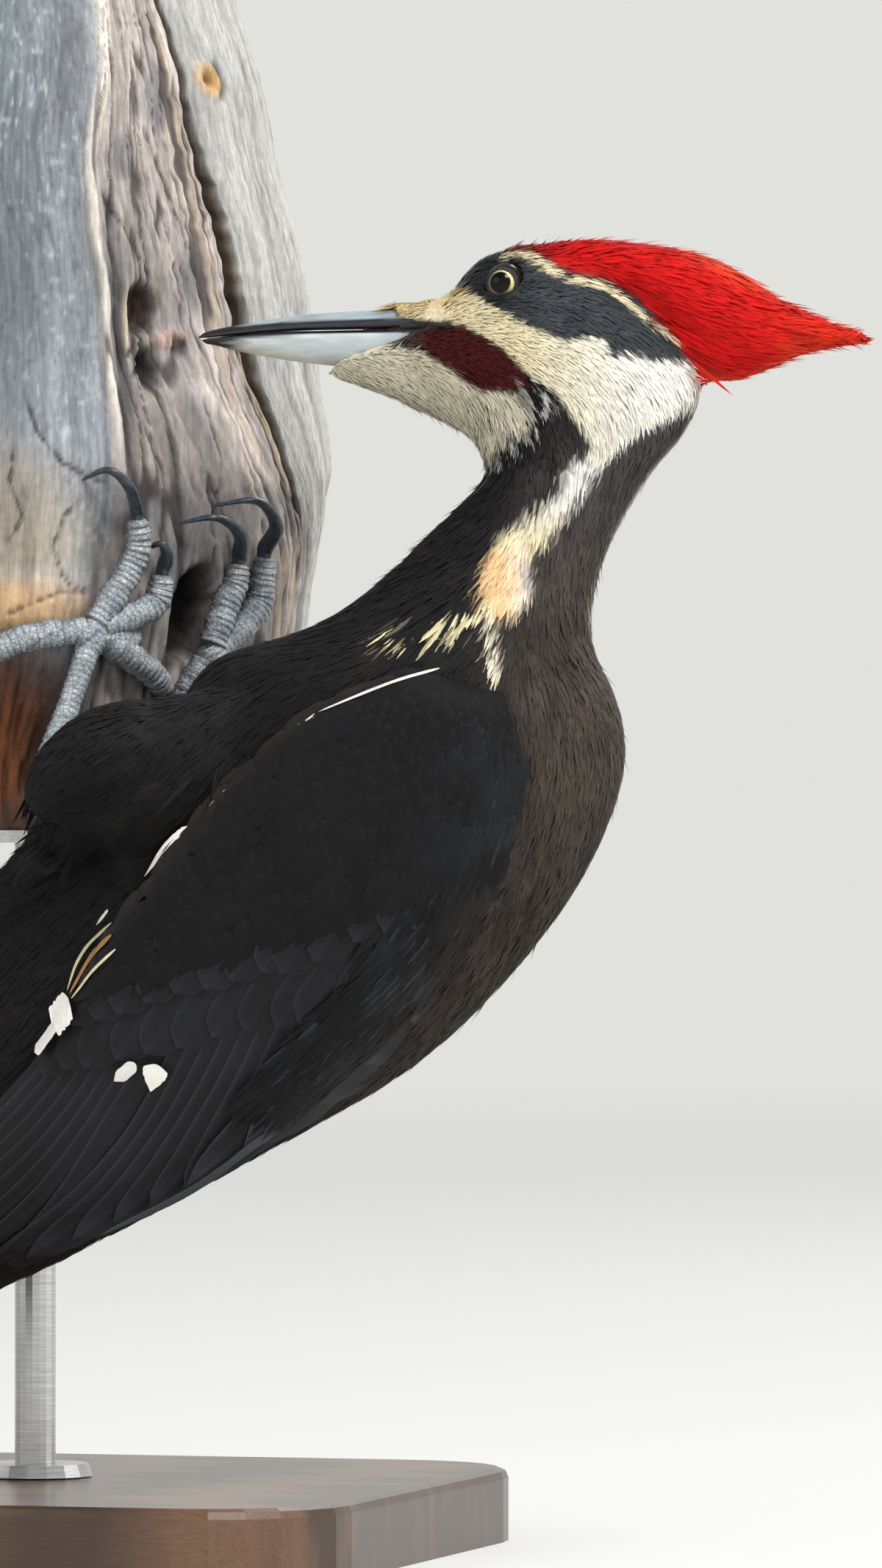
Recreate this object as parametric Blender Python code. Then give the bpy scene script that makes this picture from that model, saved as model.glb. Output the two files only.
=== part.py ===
# A life-size pileated woodpecker clinging to a short cut length of trunk, held by a display stand.
# Lengths are in millimetres here and are scaled to metres when a mesh is made.
# The bird's middle plane is y = 0, its bill points to -X and its left side faces -Y; z = 0 is the
# underside of the stand.

import math

import bmesh
import bpy
from mathutils import Matrix, Vector
from mathutils.bvhtree import BVHTree

MM = 0.001
GAP = 0.35            # clearance between solids that touch
PLUMAGE_GAP = 1.4     # clearance under a folded wing, where facets cross

# ---- bird: ventral point, dorsal point (x, z) and half width of each section, bill to tail ----
HEAD_SECTIONS = [
    ((-58.0, 283.2), (-42.0, 299.4), 4.0),      # chin and front of the nasal tufts
    ((-50.0, 280.6), (-36.0, 300.6), 7.6),
    ((-39.5, 276.8), (-27.0, 302.8), 10.8),     # forehead
    ((-28.0, 271.8), (-16.5, 309.6), 14.6),     # eyes
    ((-21.5, 268.0), (0.0, 312.2), 17.2),       # crown
    ((-18.8, 264.0), (19.5, 303.2), 18.8),      # cheek
    ((-17.9, 260.3), (32.3, 289.0), 18.4),      # nape
    ((-18.8, 257.4), (33.2, 273.6), 17.0),      # top of the neck
]
NECK_SECTIONS = [
    ((-23.3, 253.4), (20.6, 256.6), 16.2),
    ((-34.1, 243.6), (11.1, 239.7), 18.0),
]
BODY_SECTIONS = [
    ((-50.2, 229.6), (7.7, 220.7), 25.0),       # shoulders
    ((-65.0, 222.6), (14.2, 205.2), 31.0),
    ((-84.0, 217.0), (15.6, 187.9), 33.8),      # breast
    ((-93.0, 205.6), (5.2, 163.3), 34.4),
    ((-98.5, 187.0), (-14.0, 139.0), 32.4),     # belly
    ((-121.4, 168.8), (-34.6, 120.3), 27.0),
    ((-139.0, 157.0), (-58.0, 106.4), 21.0),    # rump
    ((-152.4, 137.6), (-85.0, 92.2), 17.0),
    ((-158.0, 116.0), (-111.0, 78.8), 15.5),
]
TAIL_SECTIONS = [
    ((-159.4, 113.4), (-113.6, 77.4), 15.4),
    ((-170.0, 97.0), (-138.0, 66.4), 16.0),     # tip of the under-tail coverts
    ((-186.0, 75.0), (-165.0, 56.4), 17.0),
    ((-204.0, 58.0), (-194.0, 47.4), 19.0),
    ((-220.0, 46.8), (-216.5, 41.0), 17.0),
    ((-234.4, 38.0), (-233.6, 36.0), 7.0),
]
CREST_SECTIONS = [
    ((-9.0, 308.6), (-8.0, 312.4), 3.0),
    ((3.0, 306.0), (8.0, 314.2), 7.0),
    ((16.0, 300.0), (26.0, 312.2), 9.4),
    ((26.0, 292.0), (39.0, 308.8), 9.4),
    ((34.0, 281.5), (47.0, 304.0), 8.2),
    ((45.0, 281.2), (56.0, 298.4), 6.2),
    ((56.0, 286.6), (66.0, 294.4), 3.8),
    ((67.5, 288.8), (73.5, 292.0), 2.0),
    ((75.4, 289.4), (76.4, 290.6), 0.8),
]
BODY_SIDES = 20

# ---- bill: x, top z, bottom z and half width, tip to root ----
BILL_UPPER = [(-88.4, 293.3, 292.4, 1.6), (-84.0, 294.5, 292.7, 2.2), (-75.0, 296.0, 293.4, 3.2),
              (-62.4, 297.7, 294.0, 4.4), (-51.0, 298.3, 294.1, 5.4), (-40.0, 298.8, 294.2, 6.2),
              (-27.0, 299.0, 294.6, 6.6)]
BILL_LOWER = [(-87.5, 292.0, 291.2, 1.4), (-84.0, 292.3, 290.6, 1.9), (-78.0, 292.9, 289.1, 2.7),
              (-67.3, 293.4, 287.1, 3.8), (-59.2, 293.5, 286.0, 4.4), (-48.0, 293.6, 284.9, 5.2),
              (-30.0, 294.0, 283.8, 5.8)]
BILL_SIDES = 12

EYE_CENTRE = (-10.3, 8.5, 304.4)
EYE_RADIUS = 5.0

# ---- folded wing: leading and trailing edge (x, z) with how far out each lies ----
WING_LEADING = [(-24.9, 212.4, 27.0), (-47.9, 204.8, 33.0), (-66.8, 190.5, 36.5),
                (-83.3, 173.3, 38.0), (-98.8, 156.0, 36.5), (-111.3, 137.1, 33.5),
                (-125.9, 118.1, 30.0), (-148.6, 101.7, 26.0), (-176.6, 84.5, 22.0),
                (-202.6, 69.0, 19.0), (-221.1, 57.8, 17.0)]
WING_TRAILING = [(-7.5, 207.8, 24.0), (-3.5, 191.4, 23.0), (-10.5, 174.1, 23.0),
                 (-22.2, 150.9, 22.0), (-37.2, 127.2, 20.0), (-59.4, 110.2, 18.0),
                 (-80.0, 95.6, 15.5), (-109.3, 80.5, 13.0), (-147.2, 66.6, 12.0),
                 (-186.7, 58.2, 12.5), (-222.0, 55.6, 14.5)]
WING_CROWN = 3.0          # how much the wing bulges between its edges
WING_THICKNESS = 3.6
WING_EDGE = 0.7
WING_ACROSS = 8

# ---- perch: height, lean of the axis to the side, and radius ----
PERCH_AXIS = (-173.0, 62.0)
PERCH_FRONT = -74.0       # compass angle, in degrees, in which the side with the bird faces
PERCH_STATIONS = [(176.0, -3.0, 86.0), (225.0, -1.0, 88.6), (262.0, 0.0, 93.3),
                  (304.0, -2.5, 90.8), (348.0, -9.0, 87.5), (381.0, -14.0, 84.0)]
PERCH_RINGS = 14
PERCH_SIDES = 40
# angle from the front, height, half angle, half height and depth of each hollow
PERCH_HOLLOWS = [(-4.0, 190.0, 24.0, 16.0, 17.0), (37.0, 292.0, 7.0, 13.0, 4.0),
                 (44.0, 212.0, 7.0, 10.0, 4.0)]

# ---- feet: angle from the perch's front, height and clearance above the wood, hub to tip ----
FOOT_HUB = {"left": (25.6, 223.0, 5.2), "right": (47.7, 218.0, 5.6)}
HEEL = {"left": (-118.4, -25.6, 188.2), "right": (-79.5, 29.0, 192.5)}
TOES = {
    "left": {
        1: [(29.6, 217.4, 4.4), (35.6, 214.2, 4.2), (40.2, 209.4, 3.6)],
        2: [(31.2, 226.6, 4.6), (35.2, 228.8, 3.9), (36.8, 232.4, 3.6), (37.0, 236.4, 3.4)],
        3: [(26.8, 229.6, 4.4), (30.6, 236.0, 3.8), (32.2, 242.8, 3.6), (31.6, 249.6, 3.4)],
        4: [(20.6, 224.2, 4.4), (15.2, 221.2, 3.8), (10.2, 217.8, 3.6), (4.6, 215.8, 3.4)],
    },
    "right": {
        1: [(45.6, 212.4, 4.4), (44.6, 206.8, 3.6), (44.2, 201.6, 3.4)],
        2: [(47.9, 224.8, 4.4), (50.2, 230.0, 3.8), (51.8, 234.8, 3.6), (52.0, 239.4, 3.4)],
        3: [(53.8, 221.6, 4.8), (57.2, 228.4, 4.0), (58.4, 235.2, 3.6), (58.2, 241.2, 3.4)],
        4: [(52.6, 213.2, 4.4), (59.4, 213.4, 3.8), (66.0, 215.2, 3.6), (72.6, 217.0, 3.4)],
    },
}
CLAWS = {
    "left": {
        1: [(40.6, 206.0, 4.6), (40.6, 202.6, 3.6), (40.6, 201.0, 0.7)],
        2: [(36.6, 241.0, 5.4), (35.4, 243.8, 5.0), (34.4, 242.6, 0.7)],
        3: [(28.4, 257.4, 7.6), (25.4, 261.0, 6.6), (22.9, 258.6, 0.7)],
        4: [(-0.4, 216.2, 7.2), (-4.4, 214.6, 6.2), (-6.0, 211.6, 0.7)],
    },
    "right": {
        1: [(43.9, 197.2, 4.6), (43.7, 193.6, 3.6), (43.6, 192.0, 0.7)],
        2: [(48.9, 246.4, 7.0), (43.6, 250.2, 7.0), (39.2, 248.6, 0.7)],
        3: [(56.2, 248.8, 7.6), (50.8, 254.4, 7.6), (45.0, 252.8, 0.7)],
        4: [(78.2, 219.0, 7.2), (82.2, 218.2, 6.2), (83.8, 215.4, 0.7)],
    },
}
TOE_RADII = (2.4, 2.6, 2.5, 2.1)
CLAW_RADII = (1.9, 2.1, 1.9, 1.3, 0.45)
TOE_SIDES = 8
CLAW_START = 1.6       # how far past its toe a claw begins
HUB_RADIUS = 3.9
HUB_CLEARANCE = 1.6    # how far past the hub's edge the toes begin
# share of the way from heel to hub, and radius there, of the bare tarsus
TARSUS = [(0.0, 2.2), (0.12, 3.4), (0.5, 2.5), (0.84, 2.5), (0.94, HUB_RADIUS), (1.06, 2.6)]
TARSUS_SIDES = 10
# centre (x, y, z) and radius of the feathered shank, heel to flank
THIGH = {
    "left": [(-120.6, -30.2, 181.4, 3.2), (-115.4, -30.4, 185.2, 8.6), (-107.0, -30.4, 190.4, 12.2),
             (-95.6, -28.6, 194.4, 13.4), (-80.0, -22.0, 193.0, 9.6)],
    "right": [(-78.6, 29.6, 188.6, 4.2), (-80.0, 28.8, 184.0, 5.4), (-83.5, 27.0, 178.0, 6.6),
              (-86.5, 25.0, 172.0, 6.0)],
}
THIGH_SIDES = 12

# ---- stand ----
BASE_CENTRE = (-173.0, 57.0)
BASE_SIZE = (250.0, 200.0, 18.0)
BASE_CORNER = 34.0
BASE_EDGE = 2.4
ROD_PLACES = [(-196.0, 64.0), (-150.0, 64.0)]
ROD_RADIUS = 5.0
FLANGE_RADIUS = 14.0
FLANGE_HEIGHT = 3.0
ROD_SIDES = 18


def clear_scene():
    for old in list(bpy.data.objects):
        bpy.data.objects.remove(old, do_unlink=True)


def make_material(name, colour, roughness, metallic=0.0):
    material = bpy.data.materials.get(name) or bpy.data.materials.new(name)
    material.use_nodes = True
    shader = material.node_tree.nodes["Principled BSDF"]
    shader.inputs["Base Color"].default_value = (*colour, 1.0)
    shader.inputs["Roughness"].default_value = roughness
    shader.inputs["Metallic"].default_value = metallic
    return material


def black_plumage():
    return make_material("black_plumage", (0.022, 0.022, 0.026), 0.62)


def red_plumage():
    return make_material("red_plumage", (0.52, 0.03, 0.02), 0.66)


def bill_horn():
    return make_material("bill_horn", (0.46, 0.49, 0.50), 0.38)


def claw_horn():
    return make_material("claw_horn", (0.035, 0.045, 0.06), 0.3)


def foot_scales():
    return make_material("foot_scales", (0.20, 0.23, 0.25), 0.5)


def eye_glass():
    return make_material("eye_glass", (0.62, 0.56, 0.36), 0.08)


def weathered_wood():
    return make_material("weathered_wood", (0.34, 0.32, 0.30), 0.82)


def walnut():
    return make_material("walnut", (0.10, 0.05, 0.03), 0.38)


def satin_steel():
    return make_material("satin_steel", (0.55, 0.55, 0.55), 0.32, 1.0)


def mix(a, b, t):
    return tuple(p + (q - p) * t for p, q in zip(a, b))


def flat_row(section):
    ventral, dorsal, width = section
    return (*ventral, *dorsal, width)


def curve_through(rows, steps):
    """Points along a smooth curve through rows of numbers, with this many steps between rows."""
    out = []
    for i in range(len(rows) - 1):
        before = rows[max(i - 1, 0)]
        after = rows[min(i + 2, len(rows) - 1)]
        for k in range(steps):
            t = k / steps
            out.append(tuple(
                0.5 * (2 * p1 + (p2 - p0) * t + (2 * p0 - 5 * p1 + 4 * p2 - p3) * t * t
                       + (3 * p1 - p0 - 3 * p2 + p3) * t ** 3)
                for p0, p1, p2, p3 in zip(before, rows[i], rows[i + 1], after)))
    out.append(tuple(rows[-1]))
    return out


def section_ring(row, sides, widest=0.5, grow=0.0):
    """One closed section in the plane of the Y axis and the line from ventral to dorsal point."""
    low = Vector((row[0], 0.0, row[1]))
    high = Vector((row[2], 0.0, row[3]))
    along = (high - low).normalized()
    low = low - along * grow
    high = high + along * grow
    middle = low.lerp(high, widest)
    ring = []
    for i in range(sides):
        turn = 2 * math.pi * i / sides
        rise = math.cos(turn)
        reach = (high - middle) * rise if rise > 0 else (low - middle) * -rise
        side = Vector((0.0, (row[4] + grow) * math.sin(turn), 0.0))
        ring.append(middle + reach + side)
    return ring


def tube_rings(points, radii, sides):
    """Sections square to a path of points, with a radius for each point."""
    path = [Vector(p) for p in points]
    rings = []
    across = Vector((0.0, 0.0, 1.0))
    for i, point in enumerate(path):
        ahead = (path[min(i + 1, len(path) - 1)] - path[max(i - 1, 0)]).normalized()
        if i == 0 and abs(ahead.z) > 0.8:
            across = Vector((0.0, 1.0, 0.0))
        across = (across - ahead * across.dot(ahead)).normalized()
        upward = ahead.cross(across)
        rings.append([point + (across * math.cos(2 * math.pi * k / sides)
                               + upward * math.sin(2 * math.pi * k / sides)) * radii[i]
                      for k in range(sides)])
    return rings


def loft(rings):
    """A closed mesh grown ring by ring from a filled circle."""
    bm = bmesh.new()
    row = bmesh.ops.create_circle(bm, cap_ends=True, segments=len(rings[0]), radius=1.0)["verts"]
    for vert, point in zip(row, rings[0]):
        vert.co = point * MM
    edges = list(bm.edges)
    for ring in rings[1:]:
        grown = bmesh.ops.extrude_edge_only(bm, edges=edges)["geom"]
        fresh = {item for item in grown if isinstance(item, bmesh.types.BMVert)}
        edges = [item for item in grown if isinstance(item, bmesh.types.BMEdge)
                 and item.verts[0] in fresh and item.verts[1] in fresh]
        row = [next(edge.other_vert(vert) for edge in vert.link_edges
                    if edge.other_vert(vert) in fresh) for vert in row]
        for vert, point in zip(row, ring):
            vert.co = point * MM
    bmesh.ops.holes_fill(bm, edges=edges)
    bmesh.ops.recalc_face_normals(bm, faces=bm.faces)
    return bm


def add_object(name, bm, material):
    mesh = bpy.data.meshes.new(name)
    bmesh.ops.recalc_face_normals(bm, faces=bm.faces)
    bm.to_mesh(mesh)
    bm.free()
    mesh.materials.append(material)
    mesh.shade_smooth()
    mesh.set_sharp_from_angle(angle=math.radians(40))
    obj = bpy.data.objects.new(name, mesh)
    bpy.context.scene.collection.objects.link(obj)
    return obj


def add_cutter(name, bm):
    cutter = add_object(name, bm, black_plumage())
    cutter.hide_render = True
    cutter.display_type = "WIRE"
    return cutter


def cut_away(obj, *cutters):
    for cutter in cutters:
        boolean = obj.modifiers.new(f"less_{cutter.name}", "BOOLEAN")
        boolean.operation = "DIFFERENCE"
        boolean.object = cutter


def section_loft(sections, steps, sides=BODY_SIDES, widest=0.5, grow=0.0):
    rows = curve_through([flat_row(s) for s in sections], steps)
    return loft([section_ring(row, sides, widest, grow) for row in rows])


def bill_rings(stations, widest, grow=0.0):
    rings = []
    last = len(stations) - 1
    for i, (x, top, bottom, width) in enumerate(stations):
        reach = grow if i == last else (-grow if i == 0 else 0.0)
        row = (x + reach, bottom, x + reach, top, width)
        rings.append(section_ring(row, BILL_SIDES, widest, grow))
    return rings


def ball(centre, radius, segments, rings):
    bm = bmesh.new()
    bmesh.ops.create_uvsphere(bm, u_segments=segments, v_segments=rings, radius=radius * MM)
    bmesh.ops.rotate(bm, verts=bm.verts, matrix=Matrix.Rotation(math.pi / 2, 3, "X"))
    bmesh.ops.translate(bm, verts=bm.verts, vec=Vector(centre) * MM)
    return bm


def build_trunk_of_bird():
    """Head, neck and body, grown as one form and parted by thin cuts."""
    steps = 3
    sections = HEAD_SECTIONS + NECK_SECTIONS + BODY_SECTIONS
    rows = curve_through([flat_row(s) for s in sections], steps)
    head_end = (len(HEAD_SECTIONS) - 1) * steps
    neck_end = head_end + len(NECK_SECTIONS) * steps + 1
    spans = {"head": (0, head_end), "neck": (head_end, neck_end), "body": (neck_end, len(rows) - 1)}
    made = {}
    for name, (first, last) in spans.items():
        part = [list(row) for row in rows[first:last + 1]]
        if first > 0:
            part[0] = list(mix(part[0], part[1], 0.12))
        made[name] = add_object(
            name, loft([section_ring(row, BODY_SIDES) for row in part]), black_plumage())
    return made


def build_bill():
    add_object("bill_upper", loft(bill_rings(BILL_UPPER, 0.12)), bill_horn())
    add_object("bill_lower", loft(bill_rings(BILL_LOWER, 0.86)), bill_horn())
    return [add_cutter("bill_upper_room", loft(bill_rings(BILL_UPPER, 0.12, GAP))),
            add_cutter("bill_lower_room", loft(bill_rings(BILL_LOWER, 0.86, GAP)))]


def build_eyes():
    sockets = []
    x, y, z = EYE_CENTRE
    for side, sign in (("left", -1), ("right", 1)):
        place = (x, y * sign, z)
        add_object(f"eye_{side}", ball(place, EYE_RADIUS, 14, 8), eye_glass())
        sockets.append(add_cutter(f"eye_socket_{side}", ball(place, EYE_RADIUS + GAP, 14, 8)))
    return sockets


def build_crest():
    crest = add_object("crest", section_loft(CREST_SECTIONS, 2, 14), red_plumage())
    room = add_cutter("head_room", section_loft(HEAD_SECTIONS + NECK_SECTIONS, 3, grow=2 * GAP))
    cut_away(crest, room)


def side_surface(*objects):
    bm = bmesh.new()
    for obj in objects:
        bm.from_mesh(obj.data)
    tree = BVHTree.FromBMesh(bm)
    bm.free()
    return tree


def wing_row(tree, leading, trailing, sign):
    """Outer and inner points across a folded wing, laid over the body's side."""
    outer = []
    inner = []
    for i in range(WING_ACROSS):
        t = i / (WING_ACROSS - 1)
        x, z, out = mix(leading, trailing, t)
        arch = 4 * t * (1 - t)
        out += WING_CROWN * arch
        thick = WING_EDGE + (WING_THICKNESS - WING_EDGE) * min(1.0, arch * 1.6)
        hit = tree.ray_cast(Vector((x, sign * 90.0, z)) * MM, Vector((0.0, -sign, 0.0)))[0]
        under = abs(hit.y) / MM + PLUMAGE_GAP if hit else 0.0
        near = max(out - thick, under)
        out = max(out, near + thick)
        outer.append(Vector((x, sign * out, z)))
        inner.append(Vector((x, sign * near, z)))
    return outer + inner[::-1]


def build_wings(tree):
    leading = curve_through(WING_LEADING, 2)
    trailing = curve_through(WING_TRAILING, 2)
    for side, sign in (("left", -1), ("right", 1)):
        rings = [wing_row(tree, a, b, sign) for a, b in zip(leading, trailing)]
        add_object(f"wing_{side}", loft(rings), black_plumage())


def build_tail():
    return add_object("tail", section_loft(TAIL_SECTIONS, 3, 16, widest=0.7), black_plumage())


def perch_radius(angle, height):
    """Lean and radius of the weathered trunk at an angle from its front, in degrees."""
    i = 0
    while i < len(PERCH_STATIONS) - 2 and height > PERCH_STATIONS[i + 1][0]:
        i += 1
    low, high = PERCH_STATIONS[i], PERCH_STATIONS[i + 1]
    t = min(max((height - low[0]) / (high[0] - low[0]), 0.0), 1.0)
    t = t * t * (3 - 2 * t) * 0.5 + t * 0.5
    lean = low[1] + (high[1] - low[1]) * t
    radius = low[2] + (high[2] - low[2]) * t
    turn = math.radians(angle)
    fade = 0.5 - 0.5 * math.cos(turn - math.radians(60.0))
    radius += fade * (2.6 * math.sin(3 * turn + 0.6) + 1.8 * math.sin(5 * turn + height * 0.012))
    for a, h, wide, tall, depth in PERCH_HOLLOWS:
        away = math.hypot((((angle - a + 180) % 360) - 180) / wide, (height - h) / tall)
        radius -= depth * math.exp(-away ** 2)
    return lean, radius


def on_perch(angle, height, lift):
    lean, radius = perch_radius(angle, height)
    compass = math.radians(PERCH_FRONT + angle)
    aside = math.radians(PERCH_FRONT + 90.0)
    return Vector((PERCH_AXIS[0] + lean * math.cos(aside) + (radius + lift) * math.cos(compass),
                   PERCH_AXIS[1] + lean * math.sin(aside) + (radius + lift) * math.sin(compass),
                   height))


def build_perch():
    low, high = PERCH_STATIONS[0][0], PERCH_STATIONS[-1][0]
    rings = []
    for i in range(PERCH_RINGS):
        height = low + (high - low) * i / (PERCH_RINGS - 1)
        rings.append([on_perch(360.0 * k / PERCH_SIDES, height, 0.0) for k in range(PERCH_SIDES)])
    add_object("perch", loft(rings), weathered_wood())


def shank(side, grow=0.0):
    """The bare tarsus, from its rounded heel to the hub where the toes meet."""
    hub = on_perch(*FOOT_HUB[side])
    heel = Vector(HEEL[side])
    start = -grow / (hub - heel).length
    path = [heel.lerp(hub, share if i else start) for i, (share, _) in enumerate(TARSUS)]
    return loft(tube_rings(path, [radius + grow for _, radius in TARSUS], TARSUS_SIDES))


def build_foot(side):
    hub = on_perch(*FOOT_HUB[side])
    add_object(f"tarsus_{side}", shank(side), foot_scales())
    for toe, route in TOES[side].items():
        path = [on_perch(*place) for place in route]
        away = (path[0] - hub).normalized()
        path[0] = hub + away * (HUB_RADIUS + GAP + HUB_CLEARANCE)
        radii = TOE_RADII if len(path) == 4 else TOE_RADII[1:]
        add_object(f"toe_{side}_{toe}", loft(tube_rings(path, radii, TOE_SIDES)), foot_scales())
        ahead = (path[-1] - path[-2]).normalized()
        root = path[-1] + ahead * CLAW_START
        arch = [root, root + ahead * CLAW_START] + [on_perch(*place) for place in CLAWS[side][toe]]
        arch = curve_through([tuple(point) for point in arch], 2)
        radii = [r[0] for r in curve_through([(r,) for r in CLAW_RADII], 2)]
        add_object(f"claw_{side}_{toe}", loft(tube_rings(arch, radii, TOE_SIDES)), claw_horn())


def build_thigh(side, rooms):
    rows = curve_through(THIGH[side], 2)
    rings = tube_rings([row[:3] for row in rows], [row[3] for row in rows], THIGH_SIDES)
    thigh = add_object(f"thigh_{side}", loft(rings), black_plumage())
    cut_away(thigh, *rooms)


def build_base():
    bm = bmesh.new()
    bmesh.ops.create_cube(bm, size=1.0)
    bmesh.ops.scale(bm, verts=bm.verts, vec=Vector(BASE_SIZE) * MM)
    place = Vector((*BASE_CENTRE, BASE_SIZE[2] / 2))
    bmesh.ops.translate(bm, verts=bm.verts, vec=place * MM)
    upright = [e for e in bm.edges if abs(e.verts[0].co.z - e.verts[1].co.z) > 0.001]
    bmesh.ops.bevel(bm, geom=upright, offset=BASE_CORNER * MM, offset_type="OFFSET", segments=6,
                    profile=0.5, affect="EDGES", material=-1)
    top = max(v.co.z for v in bm.verts) - 0.0001
    rim = [e for e in bm.edges if min(v.co.z for v in e.verts) > top]
    bmesh.ops.bevel(bm, geom=rim, offset=BASE_EDGE * MM, offset_type="OFFSET", segments=2,
                    profile=0.5, affect="EDGES", material=-1)
    add_object("stand_base", bm, walnut())


def build_rods():
    low = BASE_SIZE[2] + GAP
    high = PERCH_STATIONS[0][0] - GAP
    profile = [(low, FLANGE_RADIUS), (low + FLANGE_HEIGHT, FLANGE_RADIUS - 1.0),
               (low + FLANGE_HEIGHT, ROD_RADIUS), (high - FLANGE_HEIGHT, ROD_RADIUS),
               (high - FLANGE_HEIGHT, FLANGE_RADIUS - 1.0), (high, FLANGE_RADIUS)]
    for number, (x, y) in enumerate(ROD_PLACES, 1):
        rings = [[Vector((x + r * math.cos(2 * math.pi * k / ROD_SIDES),
                          y + r * math.sin(2 * math.pi * k / ROD_SIDES), z))
                  for k in range(ROD_SIDES)] for z, r in profile]
        add_object(f"stand_rod_{number}", loft(rings), satin_steel())


def centre_on_origin():
    """Hang everything from one empty, so that the whole model stands centred on the origin."""
    bpy.context.view_layer.update()
    corners = [obj.matrix_world @ Vector(corner) for obj in bpy.data.objects
               if obj.type == "MESH" and not obj.hide_render for corner in obj.bound_box]
    middle_x = (min(c.x for c in corners) + max(c.x for c in corners)) / 2
    middle_y = (min(c.y for c in corners) + max(c.y for c in corners)) / 2
    anchor = bpy.data.objects.new("display_anchor", None)
    bpy.context.scene.collection.objects.link(anchor)
    for obj in bpy.data.objects:
        if obj.type == "MESH":
            obj.parent = anchor
    anchor.location = (-middle_x, -middle_y, 0.0)
    bpy.context.view_layer.update()


def main():
    clear_scene()
    bird = build_trunk_of_bird()
    bill_rooms = build_bill()
    sockets = build_eyes()
    cut_away(bird["head"], *bill_rooms, *sockets)
    build_crest()
    tail = build_tail()
    build_wings(side_surface(bird["body"], bird["neck"], tail))
    body_room = add_cutter("body_room", section_loft(NECK_SECTIONS + BODY_SECTIONS, 3,
                                                     grow=PLUMAGE_GAP))
    for side in ("left", "right"):
        shank_room = add_cutter(f"shank_room_{side}", shank(side, 2 * GAP))
        build_thigh(side, [body_room, shank_room])
        build_foot(side)
    build_perch()
    build_base()
    build_rods()
    centre_on_origin()


main()
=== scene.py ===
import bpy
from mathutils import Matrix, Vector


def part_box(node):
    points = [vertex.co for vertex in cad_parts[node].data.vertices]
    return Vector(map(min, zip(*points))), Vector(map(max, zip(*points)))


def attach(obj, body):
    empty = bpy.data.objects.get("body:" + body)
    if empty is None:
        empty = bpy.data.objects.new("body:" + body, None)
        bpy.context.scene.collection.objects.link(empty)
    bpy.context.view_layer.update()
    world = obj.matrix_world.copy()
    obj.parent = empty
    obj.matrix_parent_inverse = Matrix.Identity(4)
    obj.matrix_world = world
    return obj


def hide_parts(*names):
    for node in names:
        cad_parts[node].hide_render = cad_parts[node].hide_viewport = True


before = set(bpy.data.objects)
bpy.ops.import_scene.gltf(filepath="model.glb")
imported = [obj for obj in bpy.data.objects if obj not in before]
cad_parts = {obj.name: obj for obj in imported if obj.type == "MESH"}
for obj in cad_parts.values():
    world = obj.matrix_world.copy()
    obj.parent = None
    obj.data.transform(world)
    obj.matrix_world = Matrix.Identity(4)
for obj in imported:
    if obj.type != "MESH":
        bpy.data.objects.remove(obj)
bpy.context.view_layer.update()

import math

import bmesh
import bpy
import numpy as np
from mathutils import Vector
from mathutils.bvhtree import BVHTree

# The bird's own millimetres: the middle plane is y = 0, the bill points to -X, z = 0 is the floor.
baseLow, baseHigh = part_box("stand_base")
standCentre = (-173.0, 57.0)
shift = np.array([(baseLow[0] + baseHigh[0]) / 2 - standCentre[0] * 0.001,
                  (baseLow[1] + baseHigh[1]) / 2 - standCentre[1] * 0.001, 0.0])
viewAngle = math.radians(16.0)
bothSides = (("left", -1), ("right", 1))
pieceTriangles = 190000                      # most triangles in one coat piece
bakePatch = 0.0015                           # half width of one feather's patch in the bake map
scuteLength, padLength = 1.55, 3.6           # millimetres along a toe


def toWorld(points):
    return np.asarray(points, dtype=float) * 0.001 + shift


def toBird(points):
    return (np.asarray(points, dtype=float) - shift) * 1000.0


def unit(vectors, least=0.0):
    return vectors / (np.linalg.norm(vectors, axis=-1, keepdims=True) + least)


def clamp(values):
    return np.clip(values, 0, 1)


# Length along a path, up to each of its points
def lengthAlong(path):
    return np.r_[0, np.cumsum(np.linalg.norm(np.diff(path, axis=0), axis=1))]


# Unit vectors square to a line in the side plane
def squareTo(line):
    head = unit(np.gradient(line, axis=0))
    return np.c_[-head[:, 1], head[:, 0]]


# Four-cornered faces of a grid of points; turned ones wind the other way
def gridFaces(rows, columns, turned=False):
    i = np.arange(rows * columns).reshape(rows, columns)
    quads = np.stack([i[:-1, :-1], i[:-1, 1:], i[1:, 1:], i[1:, :-1]], -1).reshape(-1, 4)
    return quads[:, [0, 3, 2, 1]] if turned else quads


def treeOf(piece):
    return BVHTree.FromObject(piece, bpy.context.evaluated_depsgraph_get())


def linear(colour):
    c = np.asarray(colour, dtype=float) / 255.0
    return np.where(c <= 0.04045, c / 12.92, ((c + 0.055) / 1.055) ** 2.4)


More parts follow.
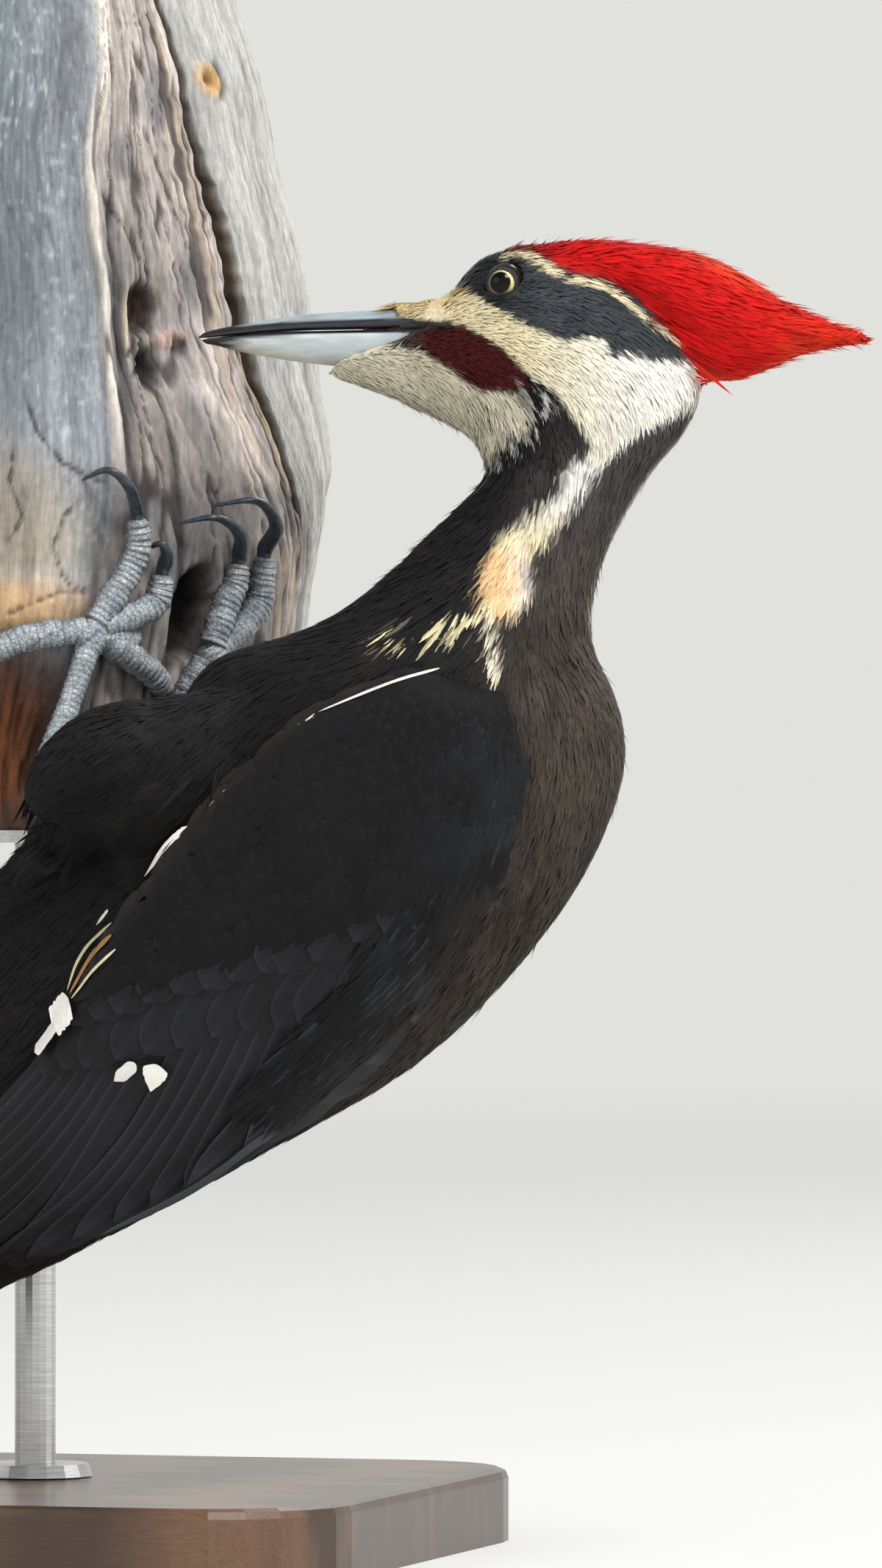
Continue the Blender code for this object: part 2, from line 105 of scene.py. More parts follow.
def buildStudio():
    studio = {"distance": 2.6, "across": -27.6, "height": 186.9, "frameHeight": 0.3678}
    right = Vector((math.cos(viewAngle), math.sin(viewAngle), 0.0))
    ahead = Vector((-math.sin(viewAngle), math.cos(viewAngle), 0.0))
    camera = bpy.data.objects.new("camera", bpy.data.cameras.new("camera"))
    bpy.context.scene.collection.objects.link(camera)
    camera.data.sensor_fit = "VERTICAL"
    camera.data.sensor_height = 36.0
    camera.data.lens = 36.0 * studio["distance"] / studio["frameHeight"]
    camera.data.clip_end = 60.0
    camera.data.dof.use_dof = False
    middle = right * studio["across"] * 0.001 + Vector((*shift[:2], studio["height"] * 0.001))
    camera.location = middle - ahead * studio["distance"]
    camera.rotation_euler = (math.pi / 2, 0.0, viewAngle)
    bpy.context.scene.camera = camera

    lights = [  # name, azimuth from the camera, height, distance, size, power
        ("key", 30.0, 52.0, 2.6, 1.1, 70.0),
        ("fill", -60.0, 22.0, 3.0, 2.2, 12.0),
        ("rim", 152.0, 42.0, 2.6, 1.0, 26.0),
        ("side", 78.0, 14.0, 3.0, 1.6, 12.0),
    ]
    for name, turn, rise, distance, size, power in lights:
        lamp = bpy.data.objects.new(name, bpy.data.lights.new(name, "AREA"))
        lamp.data.shape = "DISK"
        lamp.data.size = size
        lamp.data.energy = power
        bpy.context.scene.collection.objects.link(lamp)
        compass = viewAngle + math.radians(turn)
        flat = math.cos(math.radians(rise))
        toward = Vector((math.sin(compass) * flat, -math.cos(compass) * flat,
                         math.sin(math.radians(rise))))
        lamp.location = middle + toward * distance
        lamp.rotation_euler = (-toward).to_track_quat("-Z", "Y").to_euler()

    world = bpy.data.worlds.new("studio")
    world.use_nodes = True
    world.node_tree.nodes["Background"].inputs["Color"].default_value = (0.80, 0.81, 0.82, 1)
    world.node_tree.nodes["Background"].inputs["Strength"].default_value = 0.42
    bpy.context.scene.world = world
    bpy.context.scene.view_settings.view_transform = "Standard"

    bm = bmesh.new()   # a round floor that curves up into a wall
    profile = [bm.verts.new((radius, 0.0, height)) for radius, height in
               [(0.001, 0.0)] + [(7.0 + 3.0 * math.sin(a), 3.0 - 3.0 * math.cos(a))
                                 for a in np.linspace(0, math.pi / 2, 15)] + [(10.05, 7.0)]]
    edges = [bm.edges.new(pair) for pair in zip(profile, profile[1:])]
    bmesh.ops.spin(bm, geom=profile + edges, cent=(0, 0, 0), axis=(0, 0, 1), steps=64,
                   angle=math.tau, use_merge=True, dvec=(0, 0, 0), use_duplicate=False)
    bmesh.ops.remove_doubles(bm, verts=bm.verts, dist=0.002)
    bmesh.ops.recalc_face_normals(bm, faces=bm.faces)
    n = Nodes("pale_floor")                  # a soft glow evens out the far floor and wall
    n.set(Base_Color=(0.66, 0.66, 0.64, 1.0), Roughness=0.85, Emission_Color=(1.0, 1.0, 0.98, 1.0))
    away = n.add("ShaderNodeVectorMath", operation="LENGTH")
    n.link(n.coords(), away.inputs[0])
    glow = n.add("ShaderNodeMapRange", interpolation_type="SMOOTHSTEP")
    for socket, value in (("From Min", 0.9), ("From Max", 4.5), ("To Min", 0.0), ("To Max", 0.36)):
        glow.inputs[socket].default_value = value
    n.link(away.outputs["Value"], glow.inputs["Value"])
    n.link(glow.outputs["Result"], n.shader.inputs["Emission Strength"])
    n.material.cycles.emission_sampling = "NONE"
    floor = addPiece("floor", bm, n.material)


def plainMaterial(name, colour, roughness):
    material = bpy.data.materials.new(name)
    material.use_nodes = True
    shader = material.node_tree.nodes["Principled BSDF"]
    shader.inputs["Base Color"].default_value = (*colour, 1.0)
    shader.inputs["Roughness"].default_value = roughness
    return material


# A few short calls for wiring one material
class Nodes:
    def __init__(self, name):
        self.material = bpy.data.materials.new(name)
        self.material.use_nodes = True
        self.tree = self.material.node_tree
        self.shader = self.tree.nodes["Principled BSDF"]

    def set(self, **values):
        for key, value in values.items():
            self.shader.inputs[key.replace("_", " ")].default_value = value

    def add(self, kind, **settings):
        node = self.tree.nodes.new(kind)
        for key, value in settings.items():
            if hasattr(node, key) and key not in node.inputs:
                setattr(node, key, value)
            else:
                node.inputs[key].default_value = value
        return node

    def link(self, source, target):
        self.tree.links.new(source, target)

    def coords(self, scale=(1, 1, 1), uv=None):
        if uv:
            source = self.add("ShaderNodeUVMap", uv_map=uv).outputs[0]
        else:
            source = self.add("ShaderNodeTexCoord").outputs["Object"]
        mapping = self.add("ShaderNodeMapping")
        mapping.inputs["Scale"].default_value = scale
        self.link(source, mapping.inputs["Vector"])
        return mapping.outputs[0]

    def noise(self, vector, scale, detail=3.0, rough=0.6):
        node = self.add("ShaderNodeTexNoise", Scale=scale, Detail=detail, Roughness=rough)
        self.link(vector, node.inputs["Vector"])
        return node.outputs["Fac"]

    def ramp(self, value, stops):
        node = self.add("ShaderNodeValToRGB")
        ramp = node.color_ramp
        while len(ramp.elements) < len(stops):
            ramp.elements.new(0.5)
        for element, (place, colour) in zip(ramp.elements, stops):
            element.position = place
            element.color = (*colour, 1.0) if len(colour) == 3 else colour
        self.link(value, node.inputs["Fac"])
        return node.outputs["Color"]

    def greys(self, value, low, lowTone, high, highTone):
        return self.ramp(value, [(low, (lowTone,) * 3), (high, (highTone,) * 3)])

    def paint(self):
        return self.add("ShaderNodeAttribute", attribute_name="coatColour").outputs["Color"]

    def blend(self, kind, factor, one, two):
        node = self.add("ShaderNodeMix", data_type="RGBA", blend_type=kind)
        for target, source in (("Factor", factor), ("A", one), ("B", two)):
            socket = [s for s in node.inputs if s.name == target and s.enabled][0]
            if isinstance(source, bpy.types.NodeSocket):
                self.link(source, socket)
            elif target == "Factor":
                socket.default_value = source
            else:
                socket.default_value = (*source, 1.0)
        return [s for s in node.outputs if s.enabled][0]

    def bump(self, height, strength, distance, normal=None):
        node = self.add("ShaderNodeBump", Strength=strength, Distance=distance)
        self.link(height, node.inputs["Height"])
        if normal:
            self.link(normal, node.inputs["Normal"])
        return node.outputs["Normal"]

    def finish(self, colour=None, normal=None, roughness=None):
        for source, socket in ((colour, "Base Color"), (normal, "Normal"),
                               (roughness, "Roughness")):
            if source is not None:
                self.link(source, self.shader.inputs[socket])
        return self.material


def addPiece(name, bm, material):
    mesh = bpy.data.meshes.new(name)
    bm.to_mesh(mesh)
    bm.free()
    mesh.materials.append(material)
    mesh.shade_smooth()
    piece = bpy.data.objects.new(name, mesh)
    bpy.context.scene.collection.objects.link(piece)
    return piece


# Fix a finished piece to the frame's root body and hide the nodes it stands for
def settle(piece, slot, *nodes):
    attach(piece, "root")
    if nodes:
        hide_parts(*nodes)


# One mesh from joined arrays of points and four-cornered faces; uvs maps name to points
def meshFromArrays(name, points, quads, material, colours=None, uvs=None):
    mesh = bpy.data.meshes.new(name)
    mesh.vertices.add(len(points))
    mesh.vertices.foreach_set("co", np.asarray(points, dtype=np.float32).ravel())
    mesh.loops.add(quads.size)
    mesh.loops.foreach_set("vertex_index", quads.astype(np.int32).ravel())
    mesh.polygons.add(len(quads))
    mesh.polygons.foreach_set("loop_start", np.arange(0, quads.size, 4, dtype=np.int32))
    mesh.update(calc_edges=True)
    mesh.materials.append(material)
    mesh.shade_smooth()
    if colours is not None:
        paintVertices(mesh, colours)
    for mapName, values in (uvs or {}).items():
        layer = mesh.uv_layers.new(name=mapName)
        flat = np.asarray(values, dtype=np.float32)[quads.ravel()]
        layer.data.foreach_set("uv", flat.ravel())
    piece = bpy.data.objects.new(name, mesh)
    bpy.context.scene.collection.objects.link(piece)
    return piece


# A closed tube grown ring by ring from a filled circle; ring points are in metres
def loft(rings):
    bm = bmesh.new()
    row = bmesh.ops.create_circle(bm, cap_ends=True, segments=len(rings[0]), radius=1.0)["verts"]
    for vert, point in zip(row, rings[0]):
        vert.co = point
    edges = list(bm.edges)
    for ring in rings[1:]:
        grown = bmesh.ops.extrude_edge_only(bm, edges=edges)["geom"]
        fresh = {item for item in grown if isinstance(item, bmesh.types.BMVert)}
        edges = [item for item in grown if isinstance(item, bmesh.types.BMEdge)
                 and item.verts[0] in fresh and item.verts[1] in fresh]
        row = [next(edge.other_vert(vert) for edge in vert.link_edges
                    if edge.other_vert(vert) in fresh) for vert in row]
        for vert, point in zip(row, ring):
            vert.co = point
    bmesh.ops.holes_fill(bm, edges=edges)
    bmesh.ops.recalc_face_normals(bm, faces=bm.faces)
    bm.verts.index_update()                  # the faces come in the same order in each run
    byCorners = sorted(bm.faces, key=lambda face: sorted(vert.index for vert in face.verts))
    for number, face in enumerate(byCorners):
        face.index = number
    bm.faces.sort()
    return bm


# Evenly spaced samples of a smooth curve through rows of numbers
def curveThrough(rows, count):
    rows = np.asarray(rows, dtype=float)
    if rows.ndim == 1:
        rows = rows[:, None]
    padded = np.vstack([2 * rows[0] - rows[1], rows, 2 * rows[-1] - rows[-2]])
    place = np.linspace(0, len(rows) - 1, count)
    i = np.minimum(place.astype(int), len(rows) - 2)
    t = (place - i)[:, None]
    p0, p1, p2, p3 = padded[i], padded[i + 1], padded[i + 2], padded[i + 3]
    return 0.5 * (2 * p1 + (p2 - p0) * t + (2 * p0 - 5 * p1 + 4 * p2 - p3) * t ** 2
                  + (3 * p1 - p0 - 3 * p2 + p3) * t ** 3)


# Smooth value noise in 0..1 for an array of points
def latticeNoise(points, seed=0):
    p = np.atleast_2d(np.asarray(points, dtype=float))
    cell = np.floor(p).astype(np.int64)
    f = p - cell
    f = f * f * (3 - 2 * f)
    total = np.zeros(len(p))
    for corner in np.ndindex(*([2] * p.shape[1])):
        key = np.full(len(p), seed * 7919 + 17, dtype=np.int64)
        weight = np.ones(len(p))
        for axis, bit in enumerate(corner):
            key = key * 1103515245 + (cell[:, axis] + bit) * (374761393 + 668265263 * axis)
            weight *= f[:, axis] if bit else 1 - f[:, axis]
        key = (key ^ (key >> 13)) * 1274126177
        total += weight * (((key ^ (key >> 16)) & 0xFFFF) / 65535.0)
    return total


# Distance to an open line and the share of its length where the nearest point lies
def nearLine(x, z, corners, least=0.0):
    corners = np.asarray(corners, dtype=float)
    nearest = np.full(len(x), 1e9)
    share = np.zeros(len(x))
    for i, (a, b) in enumerate(zip(corners, corners[1:])):
        edge = b - a
        t = clamp(((x - a[0]) * edge[0] + (z - a[1]) * edge[1]) / (edge @ edge + least))
        away = np.hypot(x - a[0] - t * edge[0], z - a[1] - t * edge[1])
        closer = away < nearest
        share = np.where(closer, (i + t) / (len(corners) - 1), share)
        nearest = np.where(closer, away, nearest)
    return nearest, share


# Signed distance to an outline: positive inside, in millimetres
def insidePolygon(x, z, corners):
    corners = np.asarray(corners, dtype=float)
    closed = np.vstack([corners, corners[:1]])
    inside = np.zeros(len(x), dtype=bool)
    for a, b in zip(closed, closed[1:]):
        crosses = (a[1] > z) != (b[1] > z)
        with np.errstate(divide="ignore", invalid="ignore"):
            cut = (b[0] - a[0]) * (z - a[1]) / (b[1] - a[1]) + a[0]
        inside ^= crosses & (x < cut)
    nearest, _ = nearLine(x, z, closed, 1e-9)
    return np.where(inside, nearest, -nearest)


# Rings square to a path; scutes make overlapping scales on the side that faces outward
def tubeRings(path, radii, sides, outward=None, scutes=0.0, pads=0.0, flat=1.0):
    rings = []
    head = unit(np.gradient(path, axis=0))
    length = lengthAlong(path)
    for i, point in enumerate(path):
        up = outward[i] - head[i] * (outward[i] @ head[i])
        up /= np.linalg.norm(up)
        side = np.cross(head[i], up)
        ring = []
        for k in range(sides):
            a = math.tau * k / sides
            top = max(math.cos(a), 0.0)
            saw = (length[i] / scuteLength) % 1.0
            swell = pads * max(-math.cos(a), 0) * math.sin(length[i] / padLength * math.pi) ** 2
            grow = scutes * top ** 0.7 * (0.9 - saw) + swell
            bumps = 0.07 * math.sin(7 * a + 3 * math.sin(length[i] * 2.1)) * (1 - top)
            r = radii[i] * (1 + grow + bumps)
            ring.append(toWorld(point + up * r * math.cos(a) + side * r * flat * math.sin(a)))
        rings.append(ring)
    return rings


plumage = {
    "black": (13, 12, 14), "wingBlack": (13, 13, 16), "slate": (56, 60, 64), "rim": (62, 63, 70),
    "crest": (205, 10, 8), "crestDark": (104, 10, 12), "crestTip": (232, 74, 34),
    "forehead": (38, 27, 25), "cream": (240, 226, 186), "cheekWhite": (246, 242, 232),
    "nasal": (222, 196, 138), "maroon": (74, 9, 13), "throat": (232, 224, 200),
    "buff": (240, 198, 146), "nape": (78, 74, 73), "mantle": (74, 64, 56),
    "white": (244, 242, 234), "straw": (228, 216, 172), "edge": (132, 128, 122),
    "tan": (178, 136, 84),
}
marks = {
    "crest": [(-15, 318), (-13.4, 311.4), (-6.5, 311.5), (-3, 310.4), (0.7, 308.4),
              (4.7, 306.4), (8.7, 305.8), (13.8, 305.0), (19.2, 301.6), (24.5, 297.0),
              (28.6, 292.0), (32.4, 286.4), (34.5, 279.5), (44, 276), (95, 280), (95, 325),
              (-17, 325)],
    "mask": [(-27, 303.6), (-19.4, 301.2), (-14, 298.7), (-8.3, 296.2), (-4, 293.7),
             (0.2, 292.1), (6.3, 289.9), (11.1, 291.0), (14.5, 290.4), (15.7, 286.5),
             (20.2, 287.5), (25.2, 286.0), (31.4, 286.7), (29.6, 291.0), (24.5, 297.0),
             (19.2, 301.6), (13.8, 305), (4.7, 307), (-6, 312), (-18, 310.5)],
    "brow": [(-12.1, 310.0), (-8.5, 310.7), (-5.6, 310.1), (-2.1, 308.3), (1.8, 306.0)],
    "browRear": [(4.2, 304.4), (7.4, 304.3), (12.2, 303.2), (15.5, 301.3), (20, 297.6), (26.4, 293),
                 (32, 288.7)],
    "nasal": [(-62, 294.2), (-62, 304), (-35, 304), (-26, 303.6), (-20, 301.6), (-20, 294.0)],
    "cheek": [(-30, 302), (-19.4, 301.4), (-14, 298.9), (-8.3, 296.4), (-4, 293.9), (0.2, 292.3),
              (6.3, 290.1), (11.1, 291.2), (14.5, 290.6), (15.7, 286.7), (20.2, 287.6),
              (25.2, 286.2), (31, 286.5), (36.5, 281.0), (33, 276.4), (28.5, 272.6),
              (22.2, 269.0), (17.5, 265.2), (14.8, 262.0), (7.8, 261.0), (12.6, 267.0),
              (9.1, 271.5), (4.4, 277.9), (-3.7, 283.4), (-7, 286.6), (-10.2, 289.1),
              (-14, 291.3), (-19.7, 294.0), (-30, 294.2)],
    "malar": [(-42, 291.6), (-29.3, 293.9), (-19.7, 293.8), (-14, 291.1), (-10.2, 288.9),
              (-7, 286.2), (-3.2, 282.6), (-2.9, 279.8), (-9.7, 279.1), (-15.4, 279.4),
              (-19.1, 281.8), (-23.4, 285.0), (-31.9, 288.6), (-40, 290.0)],
    "throat": [(-66, 287), (-66, 270), (-21, 262), (-16.5, 264.0), (-10, 266.8), (-4, 269.8),
               (-1.6, 272.6), (-5.4, 277.6), (-9.7, 279.4), (-15.4, 279.6), (-19.1, 282.0),
               (-23.4, 285.2), (-31.9, 288.8), (-40, 290.2), (-60, 293)],
    "neckStripe": [(7.8, 263.0), (4.9, 257.5), (-1.0, 251.7), (-7.9, 247.0), (-9.6, 243.4),
                   (-8.0, 241.4), (-3.6, 240.8), (-1.2, 243.2), (4.3, 249.8), (7.3, 253.9),
                   (11.2, 258.7), (16.0, 264.4)],
    "buff": [(-9.8, 243.4), (-12.4, 238.0), (-13.0, 231.6), (-9.4, 226.8), (-5.6, 227.4),
             (-3.0, 231.6), (-2.4, 236.4), (-3.4, 242.6)],
    "wisps": [(-10, 229), (-17, 225.4), (-25, 221.6), (-33, 222.0)],
    "wispDown": [(-10.5, 227), (-9.6, 220.0), (-8.2, 213.5)],
    "strands": [(-13, 262.6), (-19, 258.4), (-25.6, 256.4)],
    "tips": [(-1.5, 281), (1.0, 276), (-0.5, 270.5), (-7, 266.4), (-14, 263.6)],
    "horn": [(-70, 301), (-47, 299.8), (-40, 297.2), (-34, 295.8), (-31, 294.6), (-32, 293.0),
             (-37, 290.8), (-47, 288.2), (-59.4, 285.2), (-70, 281)],
    "lip": [(-46, 294.7), (-32, 294.6), (-23.2, 294.2)],
    "back": [(30, 276), (17, 250), (9, 228), (15, 205), (15, 186), (5, 162), (-14, 138),
             (-36, 119)],
    "crestEdge": [(30, 312.6), (44, 306.6), (56, 301.4), (66, 297)],
}


def soft(distance, edge=0.6):
    return clamp(distance / edge * 0.5 + 0.5)[:, None]


def over(base, colour, amount):
    return base * (1 - amount) + colour * amount


# Colour of skin or plumage at points in the bird's millimetres
def coatColours(points, rng=None):
    x, y, z = points.T
    if rng is not None:                      # ragged borders: each tuft picks up its colour nearby
        loose = np.where((z > 262) & (x < 30), 0.22, 0.5)
        x = x + rng.normal(0, 1, len(x)) * loose
        z = z + rng.normal(0, 1, len(z)) * loose
    paint = {key: linear(value) for key, value in plumage.items()}
    colour = np.tile(paint["black"], (len(x), 1))

    def lay(tone, amount):
        nonlocal colour
        colour = over(colour, paint[tone] if isinstance(tone, str) else tone, amount)

    def mix(one, other, amount):
        return over(paint[one], paint[other], amount)

    def area(name, edge=0.6):
        return soft(insidePolygon(x, z, marks[name]), edge)

    def line(name):
        return nearLine(x, z, marks[name])

    # brownish back, near the dorsal outline from the nape to the lower back
    back, share = line("back")
    patch = latticeNoise(np.c_[x, y, z] / (3.0, 3.0, 9.0), 3)
    mantle = clamp(1.25 - (back - 3.0) / 19.0) * clamp(1.75 - share * 1.45)
    mantle = clamp(mantle * (0.35 + 1.15 * patch))[:, None]
    lay(mix("mantle", "nape", soft(z - 240, 14.0)), mantle * 0.9)
    belly = clamp(latticeNoise(np.c_[x, y * 2, z] / (9.0, 6.0, 4.0), 4) * 2 - 1)[:, None]
    lay("mantle", belly * 0.10)
    # painted shadow: the coat is darkened in a band just outside the wing's leading edge
    shade, _ = nearLine(x, z, wingEdges["leading"])
    colour = colour * (1 - 0.6 * soft(3.5 - shade, 4.0) * (z < 216)[:, None])
    # forehead and the slate mask
    lay("forehead", soft(z - 300.4, 2.0) * soft(-6.5 - x, 6.0))
    shades = latticeNoise(np.c_[x / 3.2, y / 4.0, z / 2.2], 31)[:, None]
    shades = 0.7 + 0.75 * shades + 0.35 * soft(7.0 - np.hypot(x - 1.0, z - 300.5), 6.0)
    lay(paint["slate"] * shades, area("mask") * 0.95)
    lay("black", soft(6.2 - np.hypot(x + 12.6, z - 304.0), 1.5) * 0.75)
    # throat, cheek, nasal tufts, malar patch and the line of the lips
    streak = latticeNoise(np.c_[x / 9.0, y / 0.9, (z + x * 0.35) / 0.9], 5)[:, None]
    chin = clamp((278.5 - (z - 0.12 * x)) / 5 + 0.35)[:, None]
    grey = np.clip(streak * 2.2 - 1.2, 0, 0.8) * chin
    lay(mix("throat", "nape", grey), area("throat", 1.2))
    lay(mix("cream", "cheekWhite", soft(x - 8, 14.0)), area("cheek"))
    nasal, slope = area("nasal", 2.0), 0.12 * (x + 40)
    lay("nasal", nasal * soft(z - 296.4 - slope, 2.6))
    lay("cream", nasal * soft(296.4 + slope - z, 2.6))
    lay(mix("nape", "maroon", soft(x + 33, 5.0)), area("malar"))
    lay("black", soft(0.95 - line("lip")[0], 0.4))
    # brow, neck stripe and breast
    brow, grown = line("brow")
    lay("cream", soft(0.4 + grown * 0.7 - brow, 0.5))
    brow, along = line("browRear")
    lay("cream", soft((0.95 - along * 0.5) * clamp(0.3 + along * 9) - brow, 0.5))
    lay(mix("cream", "white", soft(z - 251, 5.0)), area("neckStripe", 1.4))
    lay(mix("buff", "white", soft(x + 4.5, 3.0)), area("buff", 1.2))
    thin = (latticeNoise(np.c_[x / 1.3, y / 1.3, (z - x * 0.4) / 0.7], 9) > 0.54)[:, None]
    side = soft(np.abs(y) - 12.0, 3.0)
    lay("straw", soft(2.0 - line("wisps")[0], 1.0) * thin * side)
    fine = latticeNoise(np.c_[(x + z * 0.5) / 0.7, y / 0.9, (z - x * 0.4) / 3.5], 14)[:, None]
    lay("white", soft(2.6 - line("tips")[0], 2.6) * clamp(fine * 5 - 2.7) * 0.85)
    lay("cream", soft(2.0 - line("strands")[0], 1.5) * thin * 0.5)
    lay("throat", soft(0.9 - line("wispDown")[0], 0.5) * side * 0.9)
    # red crest, dark in front, brighter along its edges and towards the tip
    dark = np.clip((6 - x) / 22, 0, 0.9)[:, None]
    lower = soft(z - 281.5 - np.clip(x - 44, 0, 9), 3.0)
    edge = soft(2.4 - line("crestEdge")[0], 2.0)
    bright = np.maximum(np.maximum(soft(x - 60, 16.0) * 0.5, (1 - lower) * 0.6), edge * 0.8)
    lay(over(mix("crest", "crestTip", bright), paint["crestDark"], dark), area("crest", 0.8))
    # the far neck stripe shows as a pale rim along the nape
    rim = soft(3.0 - back, 1.5) * soft(y - 0.5, 2.0) * soft(z - 226, 4.0) * soft(276 - z, 3.0)
    lay("throat", rim * 0.75)
    return colour


lie = np.array([  # place (x, z), direction (x, z)
    (-52, 288, 1, -0.15), (-42, 300, 1, 0.3), (-27, 303, 1, 0.5), (-10, 311, 1, 0.12),
    (8, 314, 1, 0.0), (-25, 291, 1, -0.2), (-2, 298, 1, -0.18), (0, 284, 1, -0.42),
    (-44, 280, 1, -0.35), (-26, 273, 0.8, -0.55), (-16, 262, -0.1, -1), (18, 292, 1, -0.55),
    (16, 277, 0.5, -0.9), (32, 279, 0.1, -1), (3, 266, 0.0, -1), (18, 256, -0.5, -0.9),
    (-18, 252, -0.55, -0.85), (8, 238, -0.3, -1), (-32, 243, -0.75, -0.66), (-12, 228, -0.4, -0.9),
    (-62, 224, -0.85, -0.5), (-86, 210, -0.6, -0.8), (14, 205, 0.05, -1), (12, 182, -0.35, -0.95),
    (-6, 150, -0.6, -0.8), (-36, 120, -0.8, -0.6), (-92, 90, -0.87, -0.45),
    (-60, 165, -0.66, -0.75), (-104, 190, -0.8, -0.55), (-108, 178, -0.72, -0.7),
    (-128, 162, -0.75, -0.66), (-150, 135, -0.6, -0.8), (-175, 85, -0.68, -0.72),
    (-215, 50, -0.8, -0.6),
    (30, 306, 1, -0.22), (48, 298, 1, -0.42), (66, 293, 1, -0.2), (36, 286, 1, -0.2),
    (46, 282, 1, 0.2), (60, 288, 1, 0.16), (78, 290, 1, -0.05),
])


# Direction of the coat at points, laid into the surface
def flowAt(points, normals):
    dx = points[:, 0:1] - lie[None, :, 0]
    dz = points[:, 2:3] - lie[None, :, 1]
    weight = np.exp(-(dx ** 2 + dz ** 2) / (2 * 9.0 ** 2)) + 1e-9
    weight += 1e-3 * np.exp(-(dx ** 2 + dz ** 2) / (2 * 28.0 ** 2))
    flow = np.zeros_like(points)
    flow[:, 0] = (weight * lie[None, :, 2]).sum(1) / weight.sum(1)
    flow[:, 2] = (weight * lie[None, :, 3]).sum(1) / weight.sum(1)
    flow -= normals * (flow * normals).sum(1, keepdims=True)
    return unit(flow, 1e-9)


# Height the nasal tufts may reach: they rise slowly from the culmen
def noseRoof(x):
    roof = np.interp(x, [-62.4, -51, -40, -28], [297.7, 298.3, 298.8, 299.0])
    return roof + np.interp(x, [-50, -44, -38, -30, -27], [-1.2, -0.3, 1.2, 5.0, 20.0])


# Unwrap of the skin's own shape: share of the way along the spine, and the turn about it
def bakePlace(points):
    spine = np.array([(-60, 291), (-30, 288), (0, 290), (14, 276), (0, 255), (-14, 236),
                      (-28, 210), (-42, 185), (-58, 158), (-82, 128), (-112, 104), (-150, 90),
                      (-190, 60), (-236, 36)], dtype=float)
    x, y, z = points.T
    away, share = nearLine(x, z, spine)
    index = np.minimum((share * (len(spine) - 1)).astype(int), len(spine) - 2)
    edge = spine[index + 1] - spine[index]
    side = np.sign((x - spine[index, 0]) * edge[:, 1] - (z - spine[index, 1]) * edge[:, 0])
    turn = np.arctan2(y, side * away + 1e-9) / math.tau + 0.5
    return np.c_[0.01 + 0.98 * share, 0.01 + 0.98 * turn]


skinSettings = {"voxel": 0.0011, "grow": 0.0010, "depth": 1.5, "headDepth": 0.8, "smooth": 6,
                "creaseSmooth": 40}
fleshNodes = ["head", "neck", "body", "thigh_left", "thigh_right", "crest", "tail"]
# centre and radius along the soft fold that joins each leg's feathering to the flank
flankFolds = [
    [(-115, -25, 181, 8), (-106, -23, 184, 13), (-94, -21, 186, 17), (-78, -16, 190, 18)],
    [(-80, 27, 184, 5.5), (-84, 24, 178, 8), (-87, 20, 172, 10)],
    [(-106, -27, 190, 13), (-94, -26, 194, 13), (-82, -22, 197, 12), (-70, -16, 202, 11)],
    [(-113, -22, 176, 9), (-122, -12, 167, 8.5), (-133, -6, 158, 8.5), (-142, 0, 150, 8)],
]


